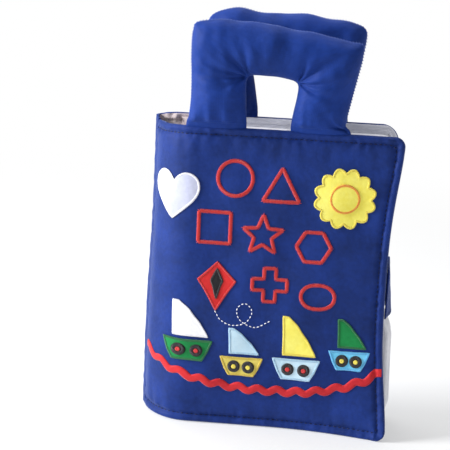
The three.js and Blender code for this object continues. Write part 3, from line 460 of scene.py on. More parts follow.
def puckers(sheet, seam, size, seed):
    """Small creases across the stitch line, bumps between its stitches, and pleats that run in from it."""
    def crease(s, z):
        total = 0
        edges = ((z, sheet.end(z) - s), (s, sheet.top - z), (s, z - sheet.bottom))
        for k, (along, inwards) in enumerate(edges):
            fade = np.exp(-((inwards - seam) / PUCKER_FADE) ** 2) * smooth_step(inwards, 0, 2)
            fine = 0.5 * ripple(along, inwards * 0.2, FINE_PUCKER_SIZE, seed + 9 + k)
            total = total + fade * (ripple(along, inwards * 0.25, PUCKER_SIZE, seed + k) + fine)
            wave = np.cos(2 * np.pi * along / STITCH_PITCH)
            bumps = np.exp(-((inwards - seam * 0.55) / RIM_BUMP_WIDTH) ** 2) * wave
            uneven = 0.7 + 0.3 * ripple(along, 0 * along, 30, seed + RIM_BUMP_SEED_STEP)
            total = total + 0.4 * bumps * uneven
            pleats = smooth_step(inwards, seam, seam + 4) * np.exp(-((inwards - seam) / PLEAT_REACH) ** 2)
            folds = ripple(along, inwards * 0.22, PLEAT_SIZE, seed + PLEAT_SEED_STEP + k)
            total = total + 0.8 * pleats * folds
        return size * total
    return crease


def raised(half, lift):
    """A stuffed face with its creases. A crease never reaches more than half way to the cloth's middle."""
    return half + np.maximum(lift, -0.5 * half)


# %% Panels
EDGE_STATIONS = np.array([0, 0.1, 0.35, 0.8, 1.4, 2.1, 3, 4, 5, 6, 6.9, 7.7, 8.5, 9.3, 10.2, 11.4, 12.8,
                          14.4, 16.2])


def fine_stations(length, step, start, end):
    """Distances along a panel: close together in a stitched edge, and evenly spaced elsewhere."""
    low = EDGE_STATIONS if start else np.array([0.0])
    high = length - EDGE_STATIONS[::-1] if end else np.array([length])
    count = max(int((high[0] - low[-1]) / step), 1)
    return np.concatenate([low, np.linspace(low[-1], high[0], count + 1)[1:-1], high])


def level_face(level):
    """A face that lies at one offset from its sheet."""
    return lambda s, z: 0 * s + level


def panel(name, sheet, columns, rows, outer, inner, material, body, stands_for=(), lined=None):
    """A closed cloth panel between two offsets from its sheet. One side, 0 or 1, can be of another cloth."""
    s, z = np.meshgrid(columns, rows, indexing="ij")
    s = s - (sheet.length - sheet.end(z)) * (s / sheet.length) ** 4
    sides = [sheet.point(s, z, side(s, z)).reshape(-1, 3) for side in (outer, inner)]
    n, m = len(columns), len(rows)
    far = n * m
    bottom, top = np.arange(n) * m, np.arange(n) * m + m - 1
    left, right = np.arange(m), np.arange(m) + (n - 1) * m
    faces = np.concatenate([grid_faces(n, m)[:, ::-1], grid_faces(n, m, far), rim_faces(bottom, far),
                            rim_faces(top, far, True), rim_faces(left, far, True), rim_faces(right, far)])
    uv = np.concatenate([np.stack([s.ravel(), z.ravel()], axis=-1)] * 2)
    second = None
    if lined:
        side, cloth, hem = lined
        inwards = np.tile(sheet.inwards(s, z).ravel(), 2)
        in_side = (faces.min(axis=1) >= side * far) & (faces.max(axis=1) < (side + 1) * far)
        second = (cloth, in_side & (inwards[faces].max(axis=1) > hem))
    return make_piece(name, np.concatenate(sides), faces, material, uv, body, stands_for, second)


# %% [markdown]
# ## Covers
# Each cover is two cloths with wadding between them, topstitched about 7 mm in from the edge. The stitching
# leaves a puffed rim outside it and small puckers across it. The front cover bends round from the spine, its
# lower fore-edge corner curls forwards, and its fore-edge is drawn in at the middle. The back cover is a
# little shorter, with rounder corners. A cushion tool would puff both evenly, so their seams are shaped here.

# %% Cover sizes and sheets
COVER_WIDTH, COVER_HEIGHT, BOOK_DEPTH = 220, 267, 54
COVER_PAD, SEAM_INSET, SEAT_GAP = 6, 7, 0.3
FOLD_DEPTH, BEND_WIDTH, ROOT_PAD, ROOT_LENGTH = 13, 44, 3, 20
FRONT_MIDDLE = BOOK_DEPTH - COVER_PAD / 2
BACK_MIDDLE = COVER_PAD / 2
SPINE_BULGE, SPINE_DROP, BACK_RISE = 3.2, -3.2, 2.5
FRONT_PINCH, FRONT_CORNER, FRONT_CURL = 8, 9, 18
BACK_SHORT, BACK_PINCH, BACK_CORNER = 4, 4.5, 16
PUCKER_DEPTH = 0.7

front_bend = bezier(*(np.array(p, float) for p in (
    (FOLD_X + ROOT_PAD / 2, -FOLD_DEPTH), (FOLD_X * 2, -BOOK_DEPTH / 2),
    (BEND_WIDTH / 2, -FRONT_MIDDLE), (BEND_WIDTH, -FRONT_MIDDLE))))
front_flat = straight(BEND_WIDTH, COVER_WIDTH, -FRONT_MIDDLE)[1:]
front_sheet = Sheet(np.concatenate([front_bend, front_flat]), 0, COVER_HEIGHT, pinch=FRONT_PINCH,
                    corner=FRONT_CORNER, curl=FRONT_CURL, bulge=SPINE_BULGE,
                    rise=((0, 20, 40, 60), (SPINE_DROP, SPINE_DROP * 0.85, SPINE_DROP * 0.35, 0)))
back_path = straight(FOLD_X, COVER_WIDTH - BACK_SHORT, -BACK_MIDDLE, 80)
back_sheet = Sheet(back_path, 0, COVER_HEIGHT, pinch=BACK_PINCH, corner=BACK_CORNER, bulge=SPINE_BULGE,
                   rise=((0, 7, 16), (0, BACK_RISE * 0.7, BACK_RISE)))
BEND_LENGTH = front_sheet.length - (COVER_WIDTH - BEND_WIDTH)
front_half, back_half = (stuffing(sheet, COVER_PAD, SEAM_INSET, ROOT_LENGTH, ROOT_PAD)
                         for sheet in (front_sheet, back_sheet))
front_pucker = puckers(front_sheet, SEAM_INSET, PUCKER_DEPTH, 11)
back_pucker = puckers(back_sheet, SEAM_INSET, PUCKER_DEPTH, 31)


def on_cover(x):
    """Distance along the front cover's cloth of a place on its flat part."""
    return BEND_LENGTH + x - BEND_WIDTH


print("cover cloth", round(front_sheet.length, 1), "and", round(back_sheet.length, 1), "mm long")

# %% Cover faces
FIELD_EDGE, FIELD_START = 22, 30
CROWN, CROWN_START, CROWN_HEIGHT = 3.2, 30, 60
CRUMPLE_TOP = (COVER_HEIGHT - 40, COVER_HEIGHT - 8)


def soft_field(sheet, s, z, seed):
    """Broad soft hollows and swells of the stuffed field, which fade out towards the stitching."""
    fade = smooth_step(sheet.inwards(s, z), SEAM_INSET, SEAM_INSET + FIELD_EDGE)
    fade = fade * smooth_step(s, 0, FIELD_START)
    return fade * (1.3 * ripple(s, z, 75, seed) + 0.7 * ripple(s, z, 34, seed + 1))


def front_face(s, z):
    """The front cover's outer face. Its wadding is thickest in the middle, so the field is crowned."""
    share = np.clip((s - CROWN_START) / (front_sheet.length - CROWN_START), 0, 1)
    upright = smooth_step(np.minimum(z, COVER_HEIGHT - z), SEAM_INSET, CROWN_HEIGHT)
    lift = front_pucker(s, z) + soft_field(front_sheet, s, z, 3)
    return raised(front_half(s, z), lift) + CROWN * np.sin(np.pi * share) * upright


def back_face(s, z):
    return -raised(back_half(s, z), back_pucker(s, z) + soft_field(back_sheet, s, z, 5))


def root_crumple(s, z, seed):
    """How far the inner cloth crumples between the spine and the lining, most of all at its top."""
    bent = smooth_step(s, 2, 8) * (1 - smooth_step(s, 15, ROOT_LENGTH))
    return bent * (0.9 + 1.3 * smooth_step(z, *CRUMPLE_TOP)) * np.abs(ripple(s, z, 9, seed))


def front_inside(s, z):
    return -front_half(s, z) - root_crumple(s, z, 19)


def back_inside(s, z):
    return back_half(s, z) + root_crumple(s, z, 23)


middle = front_sheet.length / 2, COVER_HEIGHT / 2
print("front cover", round(float(front_face(*middle) - front_inside(*middle)), 1), "mm thick in its middle")


# %% Covers
STATION_STEP = 2.0
FRONT_HEM, BACK_HEM = 4.0, 1.0
cover_rows = fine_stations(COVER_HEIGHT, STATION_STEP, True, True)
front_columns = fine_stations(front_sheet.length, STATION_STEP, False, True)
back_columns = fine_stations(back_sheet.length, STATION_STEP, False, True)
front_cover = panel("front_cover_cloth", front_sheet, front_columns, cover_rows, front_face, front_inside,
                    COTTON["cover"], "front_cover", ["front_cover"], (1, COTTON["lining"], FRONT_HEM))
back_cover = panel("back_cover_cloth", back_sheet, back_columns, cover_rows, back_inside, back_face,
                   COTTON["cover"], "root", ["back_cover"], (0, COTTON["lining"], BACK_HEM))
print("covers", len(front_cover.data.polygons), "faces each")

# %% Linings
LINING, LINING_INSET = 0.8, SEAM_INSET / 2
lining_rows = np.linspace(LINING_INSET, COVER_HEIGHT - LINING_INSET, 110)


def lining_quilt(s, z):
    """The lining's soft waves, and its gathers near the spine, which are deepest at the top."""
    past = s - ROOT_LENGTH
    bent = smooth_step(past, 0, 4) * (1 - smooth_step(past, 18, 45))
    gathers = (0.8 + 2.4 * smooth_step(z, *CRUMPLE_TOP)) * bent * np.abs(ripple(s, z, 10, 18))
    return 0.5 * np.abs(ripple(s, z, 42, 17)) * smooth_step(past, 0, 15) + gathers


def make_lining(side, sheet, half, direction, body):
    """The lining lies on the cover's inner face, which looks to the front (1) or to the back (-1)."""
    def under(s, z):
        return direction * (half(s, z) + SEAT_GAP)

    def over(s, z):
        return direction * (half(s, z) + SEAT_GAP + LINING + lining_quilt(s, z))
    outer, inner = (over, under) if direction > 0 else (under, over)
    columns = np.linspace(ROOT_LENGTH, sheet.length - LINING_INSET, 90)
    lining = panel(f"{side}_cover_lining", sheet, columns, lining_rows, outer, inner, COTTON["lining"], body,
                   [f"{side}_lining"])


make_lining("front", front_sheet, front_half, -1, "front_cover")
make_lining("back", back_sheet, back_half, 1, "root")

# %% [markdown]
# ## Spine
# The cover cloth folds round the spine in one piece. A hinge would tear it, so on the model it is a band of
# its own that starts on the back cover and ends on the front cover.

# %% Spine fold
FOLD_PAD, FOLD_LIFT, FOLD_OVERLAP, FOLD_START, FOLD_TUCK = 2.6, 0.35, 1.5, 4, 1.5
fold_slope = front_sheet.slope[0]
fold_end = np.array([FOLD_X + ROOT_PAD / 2, -FOLD_DEPTH]) + fold_slope * FOLD_OVERLAP
fold_start, fold_tuck = (np.array([x, -BACK_MIDDLE]) for x in (FOLD_X + FOLD_START, FOLD_PAD / 2 - FOLD_TUCK))
fold_path = bezier(fold_start, fold_tuck, fold_end - fold_slope * FOLD_DEPTH * 0.6, fold_end)
fold_sheet = Sheet(fold_path, 0, COVER_HEIGHT, bulge=SPINE_BULGE,
                   rise=((0, 20), (BACK_RISE * 0.3, SPINE_DROP)))


def fold_face(s, z):
    """The spine's outer face, which wrinkles where the cloth is creased by the fold."""
    wrinkles = ripple(s, z, 9, 41) * smooth_step(np.minimum(z, COVER_HEIGHT - z), 0, 4)
    return FOLD_PAD / 2 + FOLD_LIFT * (1 + wrinkles)


def fold_inside(s, z):
    """The inner face, which thins towards the front cover that it overlaps."""
    return -FOLD_PAD / 2 * (1 - 0.55 * smooth_step(s, 7, 14))


fold_rows = fine_stations(COVER_HEIGHT, 3.0, True, True)
spine_cloth = panel("spine_cloth", fold_sheet, np.linspace(0, fold_sheet.length, 18), fold_rows, fold_face,
                    fold_inside, COTTON["cover"], None, ["spine_fold"], (1, COTTON["lining"], BACK_HEM))
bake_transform(spine_cloth)
print("spine", round(fold_sheet.length, 1), "mm round")

# %% [markdown]
# ## Leaves
# The leaves are two white cloths with thin wadding, sewn to a round welt at the spine. They are the cover's
# own kind of panel with a thinner edge. Near the spine they are gathered, so they crumple there. Below the
# strap their fore-edges swell out, because nothing holds them in.

# %% Leaf sizes
PAGE_MARGIN, PAGE_TOP_MARGIN = 5, 9
LEAF_TOP = COVER_HEIGHT - PAGE_TOP_MARGIN
LEAF_PAD, LEAF_SEAM, LEAF_ROOT_PAD, LEAF_ROOT_LENGTH = 3.2, 6, 1.2, 24
LEAF_PINCH, LEAF_CORNER, LEAF_PUCKER_DEPTH = 2, 13, 0.2
LEAF_BEND_WIDTH, LEAF_FORE_EDGE = 48, COVER_WIDTH - 6
WELT_X, WELT_DEPTH, WELT_RADIUS, WELT_WEB = 15, 16, 3.2, 1.6
# One row for each leaf from the front: depth, root angle, swelling, how far its top rises, and crumple
LEAVES = (
    (38.4, -64, 6.8, 5.8, 0.25),
    (28.4, -36, 8.6, 1.5, 0.9),
    (17.2, -8, 8.0, 0.5, 0.9),
    (10.4, 22, 8.3, 3.2, 0.9),
)


def leaf_path(depth, degrees):
    """A leaf seen from above: it leaves the welt at an angle, and then lies level at its depth."""
    out = np.array([math.cos(math.radians(degrees)), math.sin(math.radians(degrees))])
    root = np.array([WELT_X, -WELT_DEPTH]) + out * (WELT_RADIUS + SEAT_GAP)
    bend = np.array([LEAF_BEND_WIDTH, -depth], float)
    reach = (LEAF_BEND_WIDTH - WELT_X) / 3
    curve = bezier(root, root + out * reach, bend - (reach, 0), bend)
    return np.concatenate([curve, straight(LEAF_BEND_WIDTH, LEAF_FORE_EDGE, -depth)[1:]])


class Leaf:
    """One cloth leaf: its sheet, its two faces and its body's name."""

    def __init__(self, number):
        self.depth, angle, swell, rise, self.crumpled = LEAVES[number - 1]
        self.number, self.body = number, f"leaf_{number}"
        self.sheet = Sheet(leaf_path(self.depth, angle), PAGE_MARGIN, LEAF_TOP, pinch=LEAF_PINCH,
                           corner=LEAF_CORNER, swell=swell, rise=((0, 30), (0, rise)))
        self.half = stuffing(self.sheet, LEAF_PAD, LEAF_SEAM, LEAF_ROOT_LENGTH, LEAF_ROOT_PAD)
        self.pucker = puckers(self.sheet, LEAF_SEAM, LEAF_PUCKER_DEPTH, 50 + number)
        self.bend = self.sheet.length - (LEAF_FORE_EDGE - LEAF_BEND_WIDTH)

    def flat(self, x):
        """Distance along the leaf of a place on its flat part."""
        return self.bend + x - LEAF_BEND_WIDTH

    def crumple(self, s, z):
        near = smooth_step(s, 3, 14) * (1 - smooth_step(s, 22, 60))
        return near * self.crumpled * ripple(s, z, 21, 60 + self.number)

    def face(self, s, z):
        return raised(self.half(s, z), self.pucker(s, z)) + self.crumple(s, z)

    def back(self, s, z):
        return -raised(self.half(s, z), self.pucker(s, z)) + self.crumple(s, z)


# %% Leaves
LEAF_STEP = 3.0
leaves = [Leaf(number) for number in (1, 2, 3, 4)]
leaf_rows = PAGE_MARGIN + fine_stations(LEAF_TOP - PAGE_MARGIN, LEAF_STEP, True, True)
for leaf in leaves:
    columns = fine_stations(leaf.sheet.length, LEAF_STEP, False, True)
    page = panel(f"cloth_leaf_{leaf.number}", leaf.sheet, columns, leaf_rows, leaf.face, leaf.back,
                 COTTON["page"], leaf.body, [leaf.body])
print("leaves", [round(leaf.sheet.length, 1) for leaf in leaves], "mm long")

# %% Welt


def extruded(name, outline, z_values, material, body, stands_for):
    """A closed outline in plan, drawn up through the given heights and capped."""
    outline = np.asarray(outline, float)
    n, m = len(z_values), len(outline)
    points = np.concatenate([np.column_stack([outline, np.full(m, z)]) for z in z_values])
    along = np.concatenate([[0], np.cumsum(np.linalg.norm(np.diff(outline, axis=0), axis=1))])
    uv = np.concatenate([np.column_stack([along, np.full(m, z)]) for z in z_values])
    caps = [list(range(m)), list(range((n - 1) * m, n * m))[::-1]]
    faces = [face[::-1] for face in grid_faces(n, m, wrap=True).tolist() + caps]
    mesh = bpy.data.meshes.new(name)
    mesh.from_pydata(((points + SHIFT) * MM).tolist(), [], faces)
    set_uv(mesh, uv)
    mesh.materials.append(material)
    return add_piece(name, mesh, body, stands_for)


def welt_outline():
    """A round bead on a narrow web that stands on the back cover."""
    half = WELT_WEB / 2
    start = math.asin(half / WELT_RADIUS)
    turns = np.linspace(start, 2 * math.pi - start, 28)
    reach = WELT_DEPTH - BACK_MIDDLE - float(back_half(WELT_X + half - FOLD_X, COVER_HEIGHT / 2)) - SEAT_GAP
    ring = [(WELT_X + WELT_RADIUS * math.sin(t), -WELT_DEPTH + WELT_RADIUS * math.cos(t)) for t in turns]
    return [(WELT_X + half, -WELT_DEPTH + reach), *ring, (WELT_X - half, -WELT_DEPTH + reach)]


welt = extruded("sewn_welt", welt_outline(), np.linspace(PAGE_MARGIN, LEAF_TOP, 60), COTTON["page"], "root",
                ["leaf_welt"])
print("welt", len(welt.data.polygons), "faces")

# %% [markdown]
# ## Handles
# Each handle is an arch cut twice from flat cloth, sewn along both edges, turned and stuffed. Stuffed cloth
# can't stretch round the inner corners, so deep folds radiate from them. Each leg is flattened and gathered
# into the cover's upper seam. A subdivided box arch would give the outline but not the folds. So the arch
# is a tube between an inner and an outer edge, given in shares of its width and rise, and the folds are
# added to it.

# %% Handle shape
HANDLE_WIDTH, HANDLE_RISE, HANDLE_THICKNESS = 152, 97, 27
HANDLE_X = {"front_handle": 99, "back_handle": 107}
HANDLE_BASE = {"front_handle": COVER_HEIGHT + SEAT_GAP, "back_handle": COVER_HEIGHT + BACK_RISE + SEAT_GAP}
# Each row across the arch: inner edge x and height, outer edge x and height, and its share of the thickness
HANDLE_SHARES = {
    "front_handle": np.array([
        [-0.093, 0, -0.432, 0, 0.2],
        [-0.093, 0.005, -0.432, 0.005, 0.22],
        [-0.093, 0.016, -0.431, 0.016, 0.3],
        [-0.093, 0.035, -0.429, 0.035, 0.44],
        [-0.094, 0.052, -0.425, 0.052, 0.58],
        [-0.096, 0.09, -0.417, 0.095, 0.78],
        [-0.1, 0.2, -0.41, 0.24, 0.94],
        [-0.104, 0.31, -0.412, 0.44, 1],
        [-0.106, 0.39, -0.418, 0.62, 1],
        [-0.1, 0.43, -0.414, 0.82, 0.94],
        [-0.085, 0.452, -0.382, 0.903, 0.88],
        [-0.05, 0.46, -0.22, 0.93, 1],
        [0.02, 0.46, 0, 0.908, 1],
        [0.085, 0.458, 0.18, 0.873, 1],
        [0.135, 0.452, 0.43, 0.806, 0.94],
        [0.165, 0.435, 0.522, 0.778, 0.86],
        [0.182, 0.395, 0.528, 0.67, 0.98],
        [0.178, 0.3, 0.51, 0.52, 1],
        [0.165, 0.185, 0.482, 0.31, 0.94],
        [0.156, 0.09, 0.458, 0.095, 0.78],
        [0.154, 0.052, 0.466, 0.052, 0.58],
        [0.153, 0.035, 0.478, 0.035, 0.44],
        [0.153, 0.016, 0.487, 0.016, 0.3],
        [0.153, 0.005, 0.489, 0.005, 0.22],
        [0.153, 0, 0.489, 0, 0.2],
    ]),
    "back_handle": np.array([
        [-0.105, 0, -0.44, 0, 0.2],
        [-0.105, 0.005, -0.44, 0.005, 0.22],
        [-0.105, 0.016, -0.439, 0.016, 0.3],
        [-0.105, 0.035, -0.437, 0.035, 0.44],
        [-0.106, 0.052, -0.433, 0.052, 0.58],
        [-0.108, 0.09, -0.425, 0.095, 0.78],
        [-0.12, 0.2, -0.415, 0.24, 0.94],
        [-0.135, 0.33, -0.418, 0.44, 1],
        [-0.15, 0.43, -0.424, 0.62, 1],
        [-0.147, 0.47, -0.42, 0.8, 0.94],
        [-0.13, 0.49, -0.375, 0.91, 0.9],
        [-0.085, 0.5, -0.26, 0.968, 1],
        [-0.01, 0.502, -0.1, 0.93, 1],
        [0.078, 0.5, 0.12, 0.94, 1],
        [0.13, 0.49, 0.4, 0.886, 0.94],
        [0.158, 0.46, 0.482, 0.838, 0.88],
        [0.166, 0.41, 0.49, 0.72, 0.98],
        [0.158, 0.31, 0.466, 0.53, 1],
        [0.145, 0.19, 0.43, 0.31, 0.94],
        [0.135, 0.09, 0.407, 0.095, 0.78],
        [0.133, 0.052, 0.41, 0.052, 0.58],
        [0.132, 0.035, 0.412, 0.035, 0.44],
        [0.132, 0.016, 0.414, 0.016, 0.3],
        [0.132, 0.005, 0.414, 0.005, 0.22],
        [0.132, 0, 0.414, 0, 0.2],
    ]),
}
# Folds that start at an inner corner: their directions in degrees, how long and how deep they are
INNER_CORNERS = {
    "front_handle": (
        (-0.1, 0.45, ((98, 22, 0.6), (128, 24, 0.5), (166, 36, 1.1), (184, 40, 1.2), (203, 30, 0.7))),
        (0.18, 0.42, ((-22, 26, 1.0), (2, 30, 0.9), (38, 26, 0.5), (72, 30, 0.7))),
        (0.48, 0.0, ((122, 12, 0.7), (146, 18, 1.3)))),
    "back_handle": (
        (-0.15, 0.47, ((100, 26, 0.8), (133, 34, 0.8), (168, 24, 0.8))),
        (0.162, 0.45, ((12, 26, 0.8), (47, 34, 0.8), (82, 24, 0.8)))),
}
print("handle tables of", [len(table) for table in HANDLE_SHARES.values()], "rows")

# %% Handle folds
RING_SIDES, RINGS_PER_ROW, RING_GIRTH = 84, 9, 110
CORNER_FOLD_DEPTH, GATHER_DEPTH, TOP_CREASE_DEPTH, EDGE_PUCKER_DEPTH = 4.6, 2.8, 1.8, 0.7


def smooth_rows(table, per_row, ends_run_on=False):
    """The table's rows with smooth steps between them, by a Catmull-Rom spline."""
    before, after = table[:1], table[-1:]
    if ends_run_on:
        before, after = 2 * before - table[1:2], 2 * after - table[-2:-1]
    padded = np.concatenate([before, table, after])
    t = (np.arange(per_row) / per_row)[:, None]
    parts = []
    for a, b, c, d in zip(padded, padded[1:], padded[2:], padded[3:]):
        bend = (2 * a - 5 * b + 4 * c - d) * t ** 2 + (3 * b - a - 3 * c + d) * t ** 3
        parts.append(0.5 * (2 * b + (c - a) * t + bend))
    return np.concatenate(parts + [table[-1:]])


def corner_folds(node, x, z, side, seed):
    """The folds that radiate from the inner corners. They waver a little, and narrow as they run out."""
    fold = 0
    for k, (corner_x, corner_z, rays) in enumerate(INNER_CORNERS[node]):
        dx, dz = x - corner_x * HANDLE_WIDTH, z - corner_z * HANDLE_RISE
        reach, angle = np.hypot(dx, dz), np.degrees(np.arctan2(dz, dx)) % 360
        angle = angle + 6 * ripple(reach, side * 20, 30, seed + k)
        for ray, length, depth in rays:
            width = 6 + 50 / (reach + 6)
            away = (angle - ray + 180) % 360 - 180
            faded = np.exp(-(away / width) ** 2 - (reach / length) ** 2)
            fold = fold + depth * faded * smooth_step(reach, 0, 5)
    return fold


def top_middle(z):
    """One in the middle of the arch's upper part, and nothing below it or at its upper edge."""
    share = z / HANDLE_RISE
    return smooth_step(share, 0.5, 0.6) * (1 - smooth_step(share, 0.74, 0.92))


def handle_shape(node, seed):
    """Rings of points round the arch, their UVs, and the direction from inner to outer edge at each ring."""
    table = HANDLE_SHARES[node]
    rows = smooth_rows(table, RINGS_PER_ROW)
    # The spline may overshoot in plan, but the thickness keeps between its two rows
    first = np.minimum(np.arange(len(rows)) // RINGS_PER_ROW, len(table) - 2)
    pair = np.stack([table[first, 4], table[first + 1, 4]])
    rows[:, 4] = np.clip(rows[:, 4], pair.min(axis=0), pair.max(axis=0))
    size = np.array([HANDLE_WIDTH, HANDLE_RISE])
    inner, outer = rows[:, 0:2] * size, rows[:, 2:4] * size
    turn = 2 * np.pi * np.arange(RING_SIDES) / RING_SIDES
    along = np.sign(np.cos(turn)) * np.abs(np.cos(turn)) ** 0.8
    across = np.sign(np.sin(turn)) * (1 - np.abs(along) ** 2.6) ** 0.7
    centre, arm = (inner + outer) / 2, (outer - inner) / 2
    xz = centre[:, None, :] + arm[:, None, :] * along[None, :, None]
    y = rows[:, 4, None] * HANDLE_THICKNESS / 2 * across[None, :]
    x, z = xz[..., 0], xz[..., 1]
    side = np.tanh(y / 4)
    y = y - side * CORNER_FOLD_DEPTH * corner_folds(node, x, z, side, seed)
    creases = top_middle(z) * np.exp(-(x / 36) ** 2) * ripple(x, z * 0.3, 20, seed + 3)
    y = y + side * TOP_CREASE_DEPTH * creases
    edge_pucker = ripple(np.arange(len(rows))[:, None] * 1.6 + 0 * x, 0 * x, 9, seed + 4)
    y = y + side * np.abs(along)[None, :] ** 6 * EDGE_PUCKER_DEPTH * edge_pucker
    gathers = np.exp(-z / 11) * smooth_step(z, 2.5, 7)
    y = y + side * gathers * GATHER_DEPTH * ripple(x, z * 0.15, 9, seed + 5)
    soft = smooth_step(z, 8, 24)
    y = y + side * soft * (1.0 * ripple(x, z, 34, seed + 7) + 0.45 * ripple(x, z, 14, seed + 8))
    z = z + soft * 0.8 * ripple(x, y, 26, seed + 9) * np.abs(along)[None, :]
    ring_at = np.cumsum(np.r_[0, np.linalg.norm(np.diff(centre, axis=0), axis=1)])
    uv = np.stack(np.broadcast_arrays(turn[None, :] / (2 * np.pi) * RING_GIRTH, ring_at[:, None]), axis=-1)
    return np.stack([x, y, z], axis=-1), uv, arm / np.linalg.norm(arm, axis=1)[:, None]


# %% Handles
HANDLE_SEAMS = {}
SEAM_SINK, BENT_BASE = 1.4, 8.0


def make_handle(node, depth, seed):
    """A handle whose foot stays in the cover's seam."""
    points, uv, outwards = handle_shape(node, seed)
    n, m = points.shape[:2]
    place = np.array([HANDLE_X[node], -depth, HANDLE_BASE[node]])
    sunk = SEAM_SINK * (1 - smooth_step(points[..., 2], 0, 3))
    flat = (points - np.stack([0 * sunk, 0 * sunk, sunk], axis=-1)).reshape(-1, 3) + place
    ends = [flat[:m].mean(axis=0), flat[-m:].mean(axis=0)]
    sides = grid_faces(n, m, wrap=True)
    k = np.arange(m)
    start = np.stack([np.full(m, n * m), k, (k + 1) % m], axis=-1)
    stop = np.stack([np.full(m, n * m + 1), (n - 1) * m + (k + 1) % m, (n - 1) * m + k], axis=-1)
    faces = np.concatenate([sides[:, [0, 1, 2]], sides[:, [0, 2, 3]], start, stop])
    handle = make_piece(f"stuffed_{node}", np.concatenate([flat, ends]), faces, COTTON["handle"],
                        np.concatenate([uv.reshape(-1, 2), [[0, 0], [0, 0]]]), None, [node])
    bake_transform(handle)
    above = points[:, 0, 2] > BENT_BASE + 1
    normals = np.column_stack([outwards[above, 0], 0 * outwards[above, 0], outwards[above, 1]])
    HANDLE_SEAMS[node] = (points[above, 0] + place, normals, False)
    print(handle.name, len(handle.data.polygons), "faces")


make_handle("front_handle", FRONT_MIDDLE, 71)
make_handle("back_handle", BACK_MIDDLE, 91)

# %% [markdown]
# ## Closing strap
# A flat double cloth band is sewn inside the front cover's fore-edge. It reaches back round the leaves'
# edges and presses on a patch of hook and loop tape on the back cover's rim. It swings as one piece, so it
# is a sheet of its own with the bend that it has when the book is shut.

# %% Strap sizes and sheet
STRAP_BOTTOM, STRAP_HEIGHT, STRAP_THICKNESS, STRAP_TAB = 105, 45, 1.8, 16
HOOK_WIDTH, PATCH_THICKNESS, CLOSE_GAP, TAPE_INSET = 5, 0.7, 0.4, 4.5
STRAP_SEAM, STRAP_HEM = 3, 5
strap_top = STRAP_BOTTOM + STRAP_HEIGHT
strap_middle, strap_half = STRAP_BOTTOM + STRAP_HEIGHT / 2, STRAP_THICKNESS / 2
front_drawn_in = front_sheet.length - float(front_sheet.end(strap_middle))
pivot_x = COVER_WIDTH - front_drawn_in + strap_half + CLOSE_GAP
pivot_depth = FRONT_MIDDLE - COVER_PAD / 2 - 2 * SEAT_GAP - LINING - strap_half
loop_x = FOLD_X + float(back_sheet.end(strap_middle)) + SEAT_GAP + PATCH_THICKNESS / 2
strap_end_x = loop_x + PATCH_THICKNESS * 1.5 + CLOSE_GAP + SEAT_GAP + strap_half
strap_bulge = LEAF_FORE_EDGE + STRAP_THICKNESS / 3
strap_path = bezier(*(np.array(p) for p in ((pivot_x, -pivot_depth), (strap_bulge, -pivot_depth + strap_half),
                                            (strap_end_x, -BOOK_DEPTH / 2), (strap_end_x, 0.0))))


class StrapSheet(Sheet):
    """The strap is taut along its upper edge and hangs out along its lower one, over the swollen leaves."""
    LOOSE_LOW, LOOSE_HIGH = 3.8, -0.6

    def point(self, s, z, offset):
        place = super().point(s, z, offset)
        loose = np.interp(z, (self.bottom, self.top), (self.LOOSE_LOW, self.LOOSE_HIGH))
        place[..., 0] += loose * np.sin(np.pi * np.clip(s / self.length, 0, 1)) ** 2
        return place


strap_sheet = StrapSheet(strap_path, STRAP_BOTTOM, strap_top)
hem_rows = np.array([0, 0.3, 1, 2, 3, 4])
strap_rows = STRAP_BOTTOM + np.concatenate([hem_rows, np.linspace(STRAP_HEM, STRAP_HEIGHT - STRAP_HEM, 30),
                                            STRAP_HEIGHT - hem_rows[::-1]])
print("strap", round(strap_sheet.length, 1), "mm long")

# %% Strap


def strap_face(s, z):
    """The strap's outer face, with a groove along each of its two seams."""
    inwards = np.minimum(z - STRAP_BOTTOM, strap_top - z)
    groove = 0.3 * np.exp(-((inwards - STRAP_SEAM) / 0.9) ** 2)
    return strap_half * np.sqrt(np.clip(inwards / 1.2, 0.12, 1)) - groove + 0.15 * ripple(s, z, 11, 83)


def strap_panel(name, sheet, length, count, body, node, outer):
    """A band of the strap's cloth with its measures as a sheet."""
    piece = panel(name, sheet, np.linspace(0, length, count), strap_rows, outer, level_face(-strap_half),
                  COTTON["cover"], body, [node])


strap_panel("closing_strap", strap_sheet, strap_sheet.length, 60, "closure_strap", "closure_strap",
            strap_face)
tab_end = pivot_x - strap_half - CLOSE_GAP
tab_sheet = Sheet(straight(tab_end - STRAP_TAB, tab_end, -pivot_depth, 20), STRAP_BOTTOM, strap_top)
strap_panel("strap_sewn_end", tab_sheet, STRAP_TAB, 20, "front_cover", "strap_anchor", level_face(strap_half))
print("sewn end", STRAP_TAB, "mm long")

# %% Hook and loop tapes
tape_rows = np.linspace(STRAP_BOTTOM + TAPE_INSET, strap_top - TAPE_INSET, 60)
hook_start = strap_sheet.length - HOOK_WIDTH - CLOSE_GAP
hook_level = -strap_half - SEAT_GAP
hook_tape = panel("hook_tape", strap_sheet, np.linspace(hook_start, hook_start + HOOK_WIDTH, 8), tape_rows,
                  level_face(hook_level), level_face(hook_level - PATCH_THICKNESS), COTTON["black"],
                  "closure_strap", ["hook_patch"])
loop_path = straight(-HOOK_WIDTH / 4, HOOK_WIDTH / 4, loop_x, 8)[:, ::-1] + (0, -BACK_MIDDLE)
loop_sheet = Sheet(loop_path, STRAP_BOTTOM, strap_top)
loop_tape = panel("loop_tape", loop_sheet, np.linspace(0, HOOK_WIDTH / 2, 8), tape_rows,
                  level_face(PATCH_THICKNESS / 2), level_face(-PATCH_THICKNESS / 2), COTTON["black"], "root",
                  ["loop_patch"])
